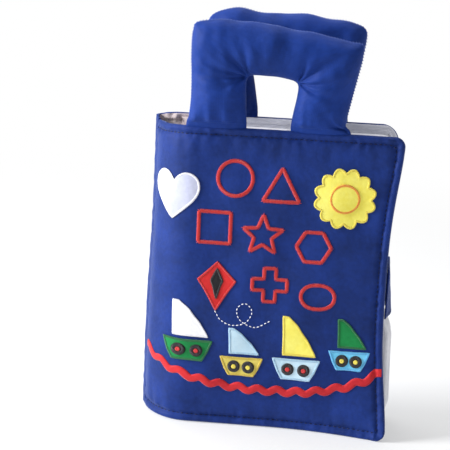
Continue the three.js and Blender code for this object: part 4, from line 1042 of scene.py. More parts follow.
for tape in (hook_tape, loop_tape):
    print(tape.name, len(tape.data.polygons), "faces")

# %% [markdown]
# ## Stitches
# Topstitch, running stitch and satin stitch are all one thing: short lengths of thread at a fixed pitch
# along a drawn line. They differ only in how long the thread lies along the line and across it. A painted
# line would stay flat at the book's edge, and threads laid by hand could not be changed. So one Geometry
# Nodes tree makes them all. It turns a line into a curve, sets one rounded thread at each step, and points
# it by the line's direction and by the cloth's own normal, which each line carries.

# %% Stitch tree
CLOTH_NORMAL = "cloth_normal"
STITCH_INPUTS = {"Pitch": 0.001, "Along": 0.001, "Across": 0.003, "Height": 0.001, "Unevenness": 0.12}


def named_input(tree, name, kind, value=None):
    """One input of the tree, with the value that it has until a piece sets its own."""
    socket = tree.interface.new_socket(name=name, in_out="INPUT", socket_type=kind)
    if value is not None:
        socket.default_value = value


def make_stitch_tree():
    """The tree that lays threads along lines. Its inputs are in metres."""
    tree = bpy.data.node_groups.new("threads_along_a_line", "GeometryNodeTree")
    tree.interface.new_socket(name="Geometry", in_out="OUTPUT", socket_type="NodeSocketGeometry")
    named_input(tree, "Geometry", "NodeSocketGeometry")
    for name, value in STITCH_INPUTS.items():
        named_input(tree, name, "NodeSocketFloat", value)
    named_input(tree, "Thread", "NodeSocketMaterial")
    given = add(tree, "NodeGroupInput").outputs
    curve = add(tree, "GeometryNodeMeshToCurve", {"Mesh": given["Geometry"]}).outputs["Curve"]
    steps = add(tree, "GeometryNodeResampleCurve", {"Curve": curve, "Length": given["Pitch"]}, mode="LENGTH")
    normal = add(tree, "GeometryNodeInputNamedAttribute", {"Name": CLOTH_NORMAL}, data_type="FLOAT_VECTOR")
    tangent = add(tree, "GeometryNodeInputTangent").outputs["Tangent"]
    axes = {"Primary Axis": normal.outputs["Attribute"], "Secondary Axis": tangent}
    turn = add(tree, "FunctionNodeAxesToRotation", axes, primary_axis="Z", secondary_axis="X")
    lengths = {"X": given["Along"], "Y": given["Across"], "Z": given["Height"]}
    sizes = add(tree, "ShaderNodeCombineXYZ", lengths).outputs["Vector"]
    low = add(tree, "ShaderNodeMath", {0: 1.0, 1: given["Unevenness"]}, operation="SUBTRACT").outputs[0]
    uneven = add(tree, "FunctionNodeRandomValue", {"Min": low, "Max": 1.0, "Seed": 4}, data_type="FLOAT")
    share = {0: sizes, "Scale": uneven.outputs["Value"]}
    scale = add(tree, "ShaderNodeVectorMath", share, operation="SCALE").outputs["Vector"]
    thread = add(tree, "GeometryNodeMeshUVSphere", {"Segments": 6, "Rings": 5, "Radius": 0.5}).outputs["Mesh"]
    places = {"Points": steps.outputs["Curve"], "Instance": thread, "Rotation": turn.outputs[0],
              "Scale": scale}
    placed = add(tree, "GeometryNodeInstanceOnPoints", places).outputs[0]
    real = add(tree, "GeometryNodeRealizeInstances", {"Geometry": placed}).outputs[0]
    smooth = add(tree, "GeometryNodeSetShadeSmooth", {"Geometry": real}).outputs[0]
    dyed = {"Geometry": smooth, "Material": given["Thread"]}
    painted = add(tree, "GeometryNodeSetMaterial", dyed).outputs[0]
    add(tree, "NodeGroupOutput", {"Geometry": painted})
    return tree


stitch_tree = make_stitch_tree()
print("stitch tree of", len(stitch_tree.nodes), "nodes")

# %% Stitches


def stitches(name, lines, thread, body, pitch, along, across, height):
    """Threads along every line, baked to one plain mesh. A line is (points in mm, normals, closed)."""
    points, normals, edges = [], [], []
    for line_points, line_normals, closed in lines:
        first, count = len(points), len(line_points)
        points += ((line_points + SHIFT) * MM).tolist()
        normals += line_normals.tolist()
        edges += [(first + i, first + i + 1) for i in range(count - 1)]
        if closed:
            edges.append((first + count - 1, first))
    mesh = bpy.data.meshes.new(name)
    mesh.from_pydata(points, edges, [])
    carried = mesh.attributes.new(CLOTH_NORMAL, "FLOAT_VECTOR", "POINT")
    carried.data.foreach_set("vector", np.array(normals, np.float32).ravel())
    piece = bpy.data.objects.new(name, mesh)
    bpy.context.collection.objects.link(piece)
    modifier = piece.modifiers.new("stitches", "NODES")
    modifier.node_group = stitch_tree
    values = {"Pitch": pitch * MM, "Along": along * MM, "Across": across * MM, "Height": height * MM,
              "Thread": THREAD[thread]}
    for item in stitch_tree.interface.items_tree:
        if item.in_out == "INPUT" and item.name in values:
            modifier[item.identifier] = values[item.name]
    baked = bpy.data.meshes.new_from_object(piece.evaluated_get(bpy.context.evaluated_depsgraph_get()))
    piece.modifiers.clear()
    piece.data = baked
    baked.name = name
    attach(piece, body)
    print(name, len(baked.polygons), "faces")


# %% [markdown]
# ## Seams
# The topstitch runs in the groove that it makes. Its line is the panel's outline drawn in by the seam's
# distance, with rounded corners, and it leaves the spine side open. It is worked out from the same sheet as
# the groove, so thread and groove can't drift apart.

# %% Seam lines
SEAM_START, LEAF_SEAM_START = 6, 12


def face_line(sheet, face, s, z, lift=0.2, closed=False, inwards=False):
    """A line on one face of a panel. Its normals point out of that face."""
    s, z = np.asarray(s, float), np.asarray(z, float)
    side = -1.0 if inwards else 1.0
    return sheet.point(s, z, face(s, z) + side * lift), sheet.outward(s) * side, closed


def seam_path(sheet, inset, start, radius=6):
    """Distances and heights of a seam from the spine side, round the fore-edge and back."""
    low, high = sheet.bottom + inset, sheet.top - inset
    heights = np.linspace(high - radius, low + radius, 160)
    edge = sheet.end(heights) - inset
    far_top, far_low = edge[0] - radius, edge[-1] - radius
    turns = np.linspace(np.pi / 2, 0, 8)[1:-1]
    top = np.linspace(start, far_top, 120)
    bottom = np.linspace(far_low, start, 120)
    over, under = radius * np.cos(turns), radius * np.cos(-turns[::-1])
    s = np.concatenate([top, far_top + over, edge, far_low + under, bottom])
    z = np.concatenate([0 * top + high, high - radius + radius * np.sin(turns), heights,
                        low + radius + radius * np.sin(-turns[::-1]), 0 * bottom + low])
    return s, z


front_seam = seam_path(front_sheet, SEAM_INSET, SEAM_START)
back_seam = seam_path(back_sheet, SEAM_INSET, SEAM_START, BACK_CORNER - SEAM_INSET)
print("seams of", len(front_seam[0]), "points")

# %% Topstitch
TOPSTITCH = {"pitch": STITCH_PITCH, "along": 3.2, "across": 1.2, "height": 0.8}
FINE_LIFT = 0.1


def lining_stitches(name, sheet, half, side, body):
    """The same seam seen from inside, where its lower thread is off white."""
    seam_s, seam_z = seam_path(sheet, SEAM_INSET, ROOT_LENGTH + 2)

    def level(s, z):
        return side * (half(s, z) + SEAT_GAP + LINING + lining_quilt(s, z))
    line = face_line(sheet, level, seam_s, seam_z, FINE_LIFT, inwards=side < 0)
    stitches(name, [line], "grey", body, **TOPSTITCH)


lining_stitches("front_lining_stitches", front_sheet, front_half, -1, "front_cover")
lining_stitches("back_lining_stitches", back_sheet, back_half, 1, "root")
strap_line = np.linspace(3, strap_sheet.length - 2, 60)
strap_lines = [face_line(strap_sheet, strap_face, strap_line, 0 * strap_line + height, FINE_LIFT)
               for height in (STRAP_BOTTOM + STRAP_SEAM, strap_top - STRAP_SEAM)]
stitches("strap_stitches", strap_lines, "navy", "closure_strap", **TOPSTITCH)
front_line = face_line(front_sheet, front_face, *front_seam)
back_line = face_line(back_sheet, back_face, *back_seam, inwards=True)
stitches("front_cover_topstitch", [front_line], "navy", "front_cover", **TOPSTITCH)
stitches("back_cover_topstitch", [back_line], "navy", "root", **TOPSTITCH)
for leaf in leaves:
    seam = seam_path(leaf.sheet, LEAF_SEAM, LEAF_SEAM_START)
    lines = [face_line(leaf.sheet, leaf.face, *seam, FINE_LIFT),
             face_line(leaf.sheet, leaf.back, *seam, FINE_LIFT, inwards=True)]
    stitches(f"{leaf.body}_topstitch", lines, "ecru", leaf.body, **TOPSTITCH)
for node, line in HANDLE_SEAMS.items():
    stitches(f"{node}_seam", [line], "blue", node, pitch=2.6, along=2.9, across=0.8, height=0.7)

# %% [markdown]
# ## The picture on the cover
# Cloth shapes are laid on the cover and held by a close satin stitch over their raw edges. A picture
# painted on the cover would have no thickness where the light grazes it. So each shape is a piece of cloth:
# a fan of rings from its middle to its outline, so that it follows the cover's bend and its soft hollows.

# %% Outlines
SQUARE_SHARES = [[-0.5, -0.5], [0.5, -0.5], [0.5, 0.5], [-0.5, 0.5]]
EDGE_INSET = 1.0


def ring_outline(count, radius):
    """Points round a middle. The radius is a number, or a function of the angle."""
    turn = 2 * np.pi * np.arange(count) / count
    reach = radius(turn) if callable(radius) else radius
    return np.column_stack([reach * np.cos(turn), reach * np.sin(turn)])


def shape_outline(shares, width, height, step=1.5):
    """A closed outline from its corners in shares of its width and height, with points every step."""
    corners = np.array(shares) * (width, height)
    lines = []
    for a, b in zip(corners, np.roll(corners, -1, axis=0)):
        parts = max(int(np.linalg.norm(b - a) / step), 1)
        lines.append(a + (b - a) * (np.arange(parts) / parts)[:, None])
    return np.concatenate(lines)


def drawn_in(outline, inset=EDGE_INSET):
    """The outline moved towards its middle."""
    reach = np.linalg.norm(outline, axis=1, keepdims=True)
    return outline * np.maximum(1 - inset / reach, 0)


# %% Patches
PATCH_LIFT, PATCH_CLOTH, PATCH_PUFF, SATIN_LIFT = 0.15, 0.5, 0.4, 0.75
CLOTH_SLOT = {name: f"{name}_cotton"
              for name in ("yellow", "lilac", "white", "sky", "sand", "green", "red", "black")}
CLOTH_SLOT.update(pale="pale_blue_cotton", braid="red_braid")


def fan_faces(count, rings, far):
    """Triangles of a fan with its rings, of its copy far points later, and of the rim between them."""
    ring = np.arange(count)
    after = (ring + 1) % count
    faces = [np.stack([0 * ring, 1 + after, 1 + ring], -1),
             np.stack([0 * ring + far, far + 1 + ring, far + 1 + after], -1)]
    for k in range(rings - 1):
        a, b = 1 + k * count, 1 + (k + 1) * count
        for base, flip in ((0, True), (far, False)):
            quad = [base + a + ring, base + b + ring, base + b + after, base + a + after]
            quad = quad[::-1] if flip else quad
            faces += [np.stack(quad[:3], -1), np.stack([quad[0], quad[2], quad[3]], -1)]
    rim = 1 + (rings - 1) * count
    a, b, c, d = rim + ring, rim + after, far + rim + after, far + rim + ring
    return np.concatenate(faces + [np.stack([a, b, c], -1), np.stack([a, c, d], -1)])


def patch(node, sheet, face, s0, z0, outline, cloth, body, lift, thickness, puff, rings):
    """A cloth shape that lies on the face of a panel."""
    shares = np.arange(1, rings + 1) / rings
    s, z = (np.concatenate([[middle]] + [middle + outline[:, k] * share for share in shares])
            for k, middle in enumerate((s0, z0)))
    swell = np.concatenate([[1.0]] + [np.full(len(outline), 1 - share ** 2) for share in shares])
    low = face(s, z) + lift
    high = low + thickness + puff * swell
    points = np.concatenate([sheet.point(s, z, low), sheet.point(s, z, high)])
    uv = np.concatenate([np.column_stack([s, z])] * 2)
    faces = fan_faces(len(outline), rings, len(s))
    piece = make_piece(f"{node}_cloth", points, faces, COTTON[cloth], uv, body, [node])
    print(piece.name, len(faces), "faces")


def cover_patch(node, x, z, outline, cloth, lift=PATCH_LIFT, puff=PATCH_PUFF, rings=8):
    """A puffed cloth shape on the front cover's outer face."""
    patch(node, front_sheet, front_face, on_cover(x), z, outline, cloth, "front_cover", lift=lift,
          thickness=PATCH_CLOTH, puff=puff, rings=rings)


def cover_outline(x, z, outline, lift=SATIN_LIFT):
    """A closed line on the front cover round a place."""
    s = on_cover(x) + outline[:, 0]
    return face_line(front_sheet, front_face, s, z + outline[:, 1], lift, closed=True)


satin = {colour: [] for colour in THREAD}
broad_satin = {colour: [] for colour in THREAD}

# %% Flower
FLOWER = (172, 212)
FLOWER_RADIUS, PETAL_DEPTH, PETALS, FLOWER_MIDDLE = 27, 4.5, 12, 13


def petal_reach(turn):
    """The flower's edge by angle, with a notch between each two petals."""
    return FLOWER_RADIUS - PETAL_DEPTH * (1 - np.abs(np.sin(turn * PETALS / 2)))


petal_outline = ring_outline(PETALS * 14, petal_reach)
cover_patch("flower", *FLOWER, petal_outline, "yellow", rings=12)
cover_patch("flower_middle", *FLOWER, ring_outline(60, FLOWER_MIDDLE), "yellow", lift=1.1, puff=0.9)
satin["yellow"].append(cover_outline(*FLOWER, drawn_in(petal_outline)))
broad_satin["orange"].append(cover_outline(*FLOWER, ring_outline(90, FLOWER_MIDDLE - 1.2), lift=1.5))

# %% Heart
HEART = (26, 205)
HEART_WIDTH, HEART_HEIGHT = 44, 42
HALF_HEART = [[0, 0.3], [0.05, 0.375], [0.1, 0.43], [0.17, 0.48], [0.24, 0.5], [0.31, 0.495], [0.38, 0.46],
              [0.44, 0.405], [0.48, 0.33], [0.5, 0.245], [0.5, 0.16], [0.48, 0.08], [0.44, 0],
              [0.395, -0.075], [0.34, -0.15], [0.28, -0.22], [0.22, -0.29], [0.1, -0.41], [0, -0.5]]
heart_shares = HALF_HEART + [[-x, z] for x, z in HALF_HEART[-2:0:-1]]
heart_outline = shape_outline(heart_shares, HEART_WIDTH, HEART_HEIGHT)
# The heart is white cloth, painted lilac grey as painted shade
cover_patch("heart", *HEART, heart_outline, "lilac", rings=12, puff=0.8)
satin["white"].append(cover_outline(*HEART, drawn_in(heart_outline)))

# %% Kite and its string
KITE = (66, 128)
KITE_WIDTH, KITE_HEIGHT = 34, 44
KITE_STRING = np.array([[66, 105], [71, 98], [81, 94], [93, 97], [98, 107], [92, 114], [85, 109], [88, 99],
                        [101, 93], [113, 99]], float)
kite_outline = shape_outline([[0, 0.5], [0.5, 0.12], [0, -0.5], [-0.5, 0.12]], KITE_WIDTH, KITE_HEIGHT)
band_outline = shape_outline([[0, 0.36], [0.16, 0.12], [0, -0.26], [-0.16, 0.12]], KITE_WIDTH, KITE_HEIGHT)
cover_patch("kite", *KITE, kite_outline, "red")
cover_patch("kite_middle", *KITE, band_outline, "black", lift=0.9)
satin["red"].append(cover_outline(*KITE, drawn_in(kite_outline)))
satin["black"].append(cover_outline(*KITE, drawn_in(band_outline, 0.6), lift=1.4))
string_route = smooth_rows(KITE_STRING, 12, ends_run_on=True)
string_line = face_line(front_sheet, front_face, on_cover(string_route[:, 0]), string_route[:, 1], 0.35)
stitches("kite_string", [string_line], "white", "front_cover", pitch=3.4, along=2.6, across=1.1, height=0.9)

# %% Boats
BOAT_WIDTH, HULL_HEIGHT, SAIL_HEIGHT, SAIL_SPACING = 42, 19, 36, 3
SAIL_WIDTH_SHARE, PORTHOLE_SPACING_SHARE = 0.8, 1 / 3
PORTHOLE_RADIUS, HUB_RADIUS = 5.5, 1.1
HULL_SHARES = [[-0.5, 0.5], [0.5, 0.5], [0.4, -0.1], [0.3, -0.5], [-0.3, -0.5], [-0.4, -0.1]]
SAIL_SHARES = [[-0.36, -0.5], [0.5, -0.5], [0.28, -0.1], [-0.02, 0.3], [-0.26, 0.5], [-0.4, 0.5]]
# Place along and up the cover, shares of width, hull and sail, and colours of hull, sail and porthole hubs
BOATS = {
    "green": (0.199, 0.2544, 1, 1, 0.89, "green", "white", "red"),
    "sand": (0.412, 0.21, 0.905, 0.895, 0.667, "sand", "pale", "yellow"),
    "pale": (0.63, 0.2135, 1, 1, 1, "pale", "yellow", "red"),
    "sky": (0.838, 0.2547, 0.857, 0.895, 0.722, "sky", "green", "yellow"),
}
black_rings, hubs = [], {"red": [], "yellow": []}
port_outline, port_ring = (ring_outline(40, radius) for radius in (PORTHOLE_RADIUS, PORTHOLE_RADIUS - 1.6))
hub_ring = ring_outline(16, HUB_RADIUS)
for name, (along, up, width_share, hull_share, sail_share, hull_cloth, sail_cloth, hub) in BOATS.items():
    x, z = along * COVER_WIDTH, up * COVER_HEIGHT
    width, height, sail = width_share * BOAT_WIDTH, hull_share * HULL_HEIGHT, sail_share * SAIL_HEIGHT
    hull_outline = shape_outline(HULL_SHARES, width, height)
    sail_outline = shape_outline(SAIL_SHARES, width * SAIL_WIDTH_SHARE, sail)
    sail_z = z + (height + sail) / 2 + SAIL_SPACING
    for part, part_z, outline, cloth in (("hull", z, hull_outline, hull_cloth),
                                         ("sail", sail_z, sail_outline, sail_cloth)):
        cover_patch(f"{part}_{name}", x, part_z, outline, cloth)
        satin[cloth].append(cover_outline(x, part_z, drawn_in(outline)))
    for side, label in ((-1, "a"), (1, "b")):
        port_x = x + side * width * PORTHOLE_SPACING_SHARE / 2
        cover_patch(f"porthole_{name}_{label}", port_x, z, port_outline, "black", lift=0.95, rings=4)
        black_rings.append(cover_outline(port_x, z, port_ring, lift=1.6))
        hubs[hub].append(cover_outline(port_x, z, hub_ring, lift=1.9))

# %% Embroidered outlines
SHAPE_SIZE, STAR_SIZE, STAR_RAYS = 30, 33, 5
star_shares = [[r * math.sin(math.pi * k / STAR_RAYS), r * math.cos(math.pi * k / STAR_RAYS)]
               for k, r in enumerate([0.55, 0.24] * STAR_RAYS)]
hexagon_shares = [[math.cos(math.pi * k / 3) / 2, math.sin(math.pi * k / 3) / 2] for k in range(6)]
cross_shares = [[0.17, 0.5], [0.17, 0.17], [0.5, 0.17], [0.5, -0.17], [0.17, -0.17], [0.17, -0.5],
                [-0.17, -0.5], [-0.17, -0.17], [-0.5, -0.17], [-0.5, 0.17], [-0.17, 0.17], [-0.17, 0.5]]


def bean_reach(turn):
    """A rounded shape that is wider than it is high."""
    return SHAPE_SIZE * 0.36 * (1 + 0.35 * np.cos(turn) ** 2)


EMBROIDERED = (
    (78, 224, ring_outline(60, SHAPE_SIZE / 2)),
    (118, 220, shape_outline([[-0.52, -0.45], [0.52, -0.45], [0, 0.5]], SHAPE_SIZE, SHAPE_SIZE)),
    (62, 180, shape_outline(SQUARE_SHARES, SHAPE_SIZE * 0.92, SHAPE_SIZE * 0.92)),
    (104, 176, shape_outline(star_shares, STAR_SIZE, STAR_SIZE)),
    (148, 168, shape_outline(hexagon_shares, SHAPE_SIZE, SHAPE_SIZE)),
    (112, 132, shape_outline(cross_shares, SHAPE_SIZE, SHAPE_SIZE)),
    (154, 124, ring_outline(60, bean_reach)),
)
embroidery = [cover_outline(x, z, outline, lift=0.3) for x, z, outline in EMBROIDERED]
SATIN = {"pitch": 0.75, "along": 0.95}
stitches("embroidered_shapes", embroidery, "red", "front_cover", across=4.4, height=1.4, **SATIN)

# %% Satin edges
for prefix, edges, across, height in (("edges", satin, 2.5, 1.0), ("ring", broad_satin, 3.2, 1.2)):
    for name, lines in edges.items():
        if lines:
            stitches(f"satin_{prefix}_{name}", lines, name, "front_cover", across=across, height=height,
                     **SATIN)
stitches("porthole_rings", black_rings, "black", "front_cover", pitch=0.8, along=1.1, across=3.6, height=1.2)
for name, lines in hubs.items():
    stitches(f"porthole_hubs_{name}", lines, name, "front_cover", pitch=0.6, along=1.2, across=2.6,
             height=1.2)

# %% [markdown]
# ## Waved braid
# Rick-rack is woven as a zigzag, so it is a flat ribbon whose middle line swings. A wave bent into a
# straight ribbon would change its width at each turn. So it is drawn as one grid that keeps its width
# square to its line, and it is thicker in its middle.

# %% Braid
BRAID_BASE, BRAID_RISE_LEFT, BRAID_RISE_RIGHT, BRAID_POWER_LEFT, BRAID_POWER_RIGHT = 35.5, 27, 25, 2, 3
BRAID_PITCH, BRAID_SWING, BRAID_WIDTH, BRAID_THICKNESS, BRAID_MIDDLE_X = 17, 1.8, 6.8, 1.1, 105
BRAID_LIFT, BRAID_STEPS, BRAID_ROWS = 0.1, 360, 9


def braid_line():
    """The waved middle line. It is lowest near the cover's middle and rises to both sides."""
    start, middle = on_cover(0), on_cover(BRAID_MIDDLE_X)
    end = float(front_sheet.end(BRAID_BASE + BRAID_RISE_RIGHT)) - SEAM_SHARES[1] * SEAM_INSET
    s = np.linspace(start, end, BRAID_STEPS)
    left, right = np.maximum(middle - s, 0) / (middle - start), np.maximum(s - middle, 0) / (end - middle)
    rise = BRAID_RISE_LEFT * left ** BRAID_POWER_LEFT + BRAID_RISE_RIGHT * right ** BRAID_POWER_RIGHT
    return s, BRAID_BASE + rise + BRAID_SWING * np.sin(2 * np.pi * (s - start) / BRAID_PITCH)


s, z = braid_line()
shares = np.linspace(-1, 1, BRAID_ROWS)
braid_rise = BRAID_THICKNESS * np.sqrt(np.clip(1 - shares ** 4, 0.05, 1))
slope = np.stack([np.gradient(s), np.gradient(z)], axis=-1)
slope = slope / np.linalg.norm(slope, axis=1)[:, None]
s_grid = np.minimum(s[:, None] - slope[:, 1:] * shares * BRAID_WIDTH / 2, s[-1])
z_grid = z[:, None] + slope[:, :1] * shares * BRAID_WIDTH / 2
base = front_face(s_grid, z_grid) + BRAID_LIFT
sides = [front_sheet.point(s_grid, z_grid, base + share * braid_rise).reshape(-1, 3) for share in (1, 0)]
far, low_rim, left_rim = s_grid.size, np.arange(BRAID_STEPS) * BRAID_ROWS, np.arange(BRAID_ROWS)
braid_faces = np.concatenate([
    grid_faces(BRAID_STEPS, BRAID_ROWS), grid_faces(BRAID_STEPS, BRAID_ROWS, far)[:, ::-1],
    rim_faces(low_rim, far, True), rim_faces(low_rim + BRAID_ROWS - 1, far), rim_faces(left_rim, far),
    rim_faces(left_rim + (BRAID_STEPS - 1) * BRAID_ROWS, far, True)])
braid = make_piece("waved_braid", np.concatenate(sides), braid_faces, COTTON["braid"],
                   np.concatenate([np.column_stack([s_grid.ravel(), z_grid.ravel()])] * 2), "front_cover",
                   ["rickrack_braid"])
print("braid", len(braid_faces), "faces")

# %% [markdown]
# ## Inside the book
# The leaves carry things for small hands: a clock with hands that turn, a pocket with a zip, beads on
# cords, and plain shapes to match. Cloth shapes and their stitches are made as on the cover, but lie flat,
# because the parts that move over them need a level ground.

# %% Clock leaf
FIELD_WIDTH = LEAF_FORE_EDGE - LEAF_BEND_WIDTH
FIELD_X = LEAF_BEND_WIDTH + FIELD_WIDTH * 0.432
LEAF_LEVEL = LEAF_PAD / 2 + SEAT_GAP
CLOCK_Z, CLOCK_RADIUS, DIAL_THICKNESS = 138, FIELD_WIDTH / 2 - 19, 1.0
MARK_END, MARK_START, LONG_MARK_START = 55, 49, 44
LEAF_SATIN = {"pitch": 0.9, "along": 1.1, "height": 0.9}
clock_leaf, zip_leaf, bead_leaf, shape_leaf = leaves


def leaf_outline(leaf, z, outline, level, closed=True):
    """A line on a leaf round a place in the middle of its field."""
    s = leaf.flat(FIELD_X) + outline[:, 0]
    return face_line(leaf.sheet, level_face(level), s, z + outline[:, 1], 0, closed)


def leaf_patch(leaf, node, z, outline, cloth, level, thickness):
    """A level cloth shape in the middle of a leaf's field."""
    patch(node, leaf.sheet, level_face(level), leaf.flat(FIELD_X), z, outline, cloth, leaf.body, lift=0,
          thickness=thickness, puff=0, rings=10)


dial_outline = ring_outline(120, CLOCK_RADIUS)
leaf_patch(clock_leaf, "clock_dial", CLOCK_Z, dial_outline, "yellow", LEAF_LEVEL, DIAL_THICKNESS)
dial_level = LEAF_LEVEL + DIAL_THICKNESS
dial_edge = leaf_outline(clock_leaf, CLOCK_Z, ring_outline(120, CLOCK_RADIUS - 1.2), dial_level)
stitches("clock_edge", [dial_edge], "orange", clock_leaf.body, pitch=0.8, along=1.0, across=3.0, height=0.9)
marks = []
for hour in range(12):
    turn = math.radians(30 * hour)
    start = LONG_MARK_START if hour % 3 == 0 else MARK_START
    mark = np.outer(np.linspace(start, MARK_END, 12), [math.sin(turn), math.cos(turn)])
    marks.append(leaf_outline(clock_leaf, CLOCK_Z, mark, dial_level, closed=False))
stitches("clock_marks", marks, "navy", clock_leaf.body, pitch=0.8, along=1.0, across=3.4, height=0.8)

# %% Zip leaf
ZIP_Z, ZIP_LENGTH, TAPE_HEIGHT, TAPE_THICKNESS, TOOTH_WIDTH = 158, FIELD_WIDTH - 34, 20, 0.8, 5
POCKET_WIDTH, POCKET_HEIGHT, POCKET_DROP = FIELD_WIDTH - 16, 104, 30
POCKET_SHARES = [[-0.5, 0.5], [0.5, 0.5], [0.5, -0.38], [0.4, -0.5], [-0.4, -0.5], [-0.5, -0.38]]
pocket_z = ZIP_Z - POCKET_DROP
pocket_outline = shape_outline(POCKET_SHARES, POCKET_WIDTH, POCKET_HEIGHT, step=3)
leaf_patch(zip_leaf, "zip_pocket", pocket_z, pocket_outline, "green", LEAF_LEVEL, PATCH_THICKNESS)
pocket_edge = leaf_outline(zip_leaf, pocket_z, drawn_in(pocket_outline, 1.2), LEAF_LEVEL + PATCH_THICKNESS)
stitches("pocket_edge", [pocket_edge], "green", zip_leaf.body, across=3.0, **LEAF_SATIN)
tape_level = LEAF_LEVEL + PATCH_THICKNESS + SEAT_GAP
tape_outline = shape_outline(SQUARE_SHARES, ZIP_LENGTH, TAPE_HEIGHT, step=2)
leaf_patch(zip_leaf, "zip_tape", ZIP_Z, tape_outline, "braid", tape_level, TAPE_THICKNESS)
tooth_line = straight(-ZIP_LENGTH / 2 + 1, ZIP_LENGTH / 2 - 1, 0, 40)
teeth = leaf_outline(zip_leaf, ZIP_Z, tooth_line, tape_level + TAPE_THICKNESS + 0.2, closed=False)
stitches("zip_teeth", [teeth], "white", zip_leaf.body, pitch=1.9, along=1.4, across=TOOTH_WIDTH, height=1.8)

# %% Bead bands
BEAD_Z, BEAD_SPAN, CORD_SPACING, CORD_RADIUS = 134, FIELD_WIDTH - 34, 42, 1.0
BAND_WIDTH, BAND_THICKNESS, BAND_HEIGHT, BAND_SHOULDER = 12, 6.2, 150, 2.4
band_y = -bead_leaf.depth - LEAF_LEVEL
band_heights = np.linspace(BEAD_Z - BAND_HEIGHT / 2, BEAD_Z + BAND_HEIGHT / 2, 50)


def band_section(x):
    """The band seen from above: flat against the leaf, with a rounded outer face."""
    half, turn = BAND_WIDTH / 2, np.linspace(0, np.pi, 20)
    crown = BAND_SHOULDER + (BAND_THICKNESS - BAND_SHOULDER) * np.sin(turn) ** 0.6
    return [(x - half, band_y), (x + half, band_y), *zip(x + half * np.cos(turn), band_y - crown)]


for node, side in (("bead_band_spine", -1), ("bead_band_edge", 1)):
    section = band_section(FIELD_X + side * (BEAD_SPAN + BAND_WIDTH) / 2)[::-1]
    band = extruded(f"{node}_cloth", section, band_heights, COTTON["sky"], bead_leaf.body, [node])
    print(band.name, len(band.data.polygons), "faces")

# %% Bead cords
CORD_RINGS, CORD_SIDES, CORD_TWISTS = 260, 14, 34
cord_length = BEAD_SPAN - 2 * SEAT_GAP
cord_y = band_y - BAND_THICKNESS / 2


def twisted_cord(node, z):
    """A cord of two plies: its section has two bulges that turn along it."""
    n, m = CORD_RINGS, CORD_SIDES
    along = np.linspace(0, 1, n)[:, None]
    angle = 2 * np.pi * np.arange(m) / m
    radius = CORD_RADIUS * (0.82 + 0.16 * np.abs(np.cos(angle - 2 * np.pi * CORD_TWISTS * along)))
    x = FIELD_X + (along - 0.5) * cord_length + 0 * radius
    points = np.stack([x, cord_y + radius * np.cos(angle), z + radius * np.sin(angle)], -1).reshape(-1, 3)
    sides = grid_faces(n, m, wrap=True)
    fan, last = np.arange(1, m - 1), (n - 1) * m
    start = np.stack([0 * fan, fan, fan + 1], -1)
    stop = np.stack([0 * fan + last, last + fan + 1, last + fan], -1)
    triangles = np.concatenate([sides[:, [0, 1, 2]], sides[:, [0, 2, 3]], start, stop])
    uv = np.stack([x, np.broadcast_to(angle, x.shape)], -1).reshape(-1, 2)
    cord = make_piece(f"{node}_cloth", points, triangles, COTTON["white"], uv, bead_leaf.body, [node])


for number in (1, 2, 3):
    twisted_cord(f"bead_cord_{number}", BEAD_Z + (number - 2) * CORD_SPACING)
print("cords", round(cord_length, 1), "mm long")

# %% Shape leaf
MATCH_SIZE, MATCH_SPACING = 56, 74
TRIANGLE_SHARES = [[-0.55, -0.45], [0.55, -0.45], [0, 0.5]]
MATCHING = (
    ("match_square", shape_outline(SQUARE_SHARES, MATCH_SIZE, MATCH_SIZE), "red"),
    ("match_circle", ring_outline(80, MATCH_SIZE / 2), "sky"),
    ("match_triangle", shape_outline(TRIANGLE_SHARES, MATCH_SIZE, MATCH_SIZE), "sand"),
)
for k, (node, outline, cloth) in enumerate(MATCHING):
    z = BEAD_Z + (k - 1) * MATCH_SPACING
    leaf_patch(shape_leaf, node, z, outline, cloth, LEAF_LEVEL, PATCH_THICKNESS)
    match_edge = leaf_outline(shape_leaf, z, drawn_in(outline), LEAF_LEVEL + PATCH_THICKNESS)
    stitches(f"{node}_edge", [match_edge], cloth, shape_leaf.body, across=2.6, **LEAF_SATIN)

# %% [markdown]
# ## Small hard pieces
# The clock's hands, the beads and the zip's metal parts are shown as they are in the measured model, because
# nothing about their shape is soft. They only get their real finish: moulded plastic has a faint orange-peel
# surface, and plated zinc is smooth with fine brushing.

# %% Plastics and metal
PLASTIC_BLOTCH, PEEL_SIZE, BRUSH_SIZE, BRUSH_STRETCH = 4, 1.2, 1.5, 9


def moulded_plastic(name, colour, roughness):
    """A clear coat over an uneven colour: the eye reads the small glints as moulded plastic."""
    coat = {"Roughness": roughness, "Coat Weight": 0.15, "Coat Roughness": 0.2}
    material, tree, shader = new_material(name, coat)
    where = add(tree, "ShaderNodeTexCoord").outputs["Object"]
    first, second = (linear(tone) for tone in colour)
    colours = {"Fac": blotches(tree, where, PLASTIC_BLOTCH), "Color1": first, "Color2": second}
    tint = add(tree, "ShaderNodeMixRGB", colours).outputs[0]
    tree.links.new(tint, shader.inputs["Base Color"])
    height = {"Height": blotches(tree, where, PEEL_SIZE), "Strength": 0.25, "Distance": 0.1 * MM}
    peel = add(tree, "ShaderNodeBump", height).outputs[0]
    tree.links.new(peel, shader.inputs["Normal"])
    return material


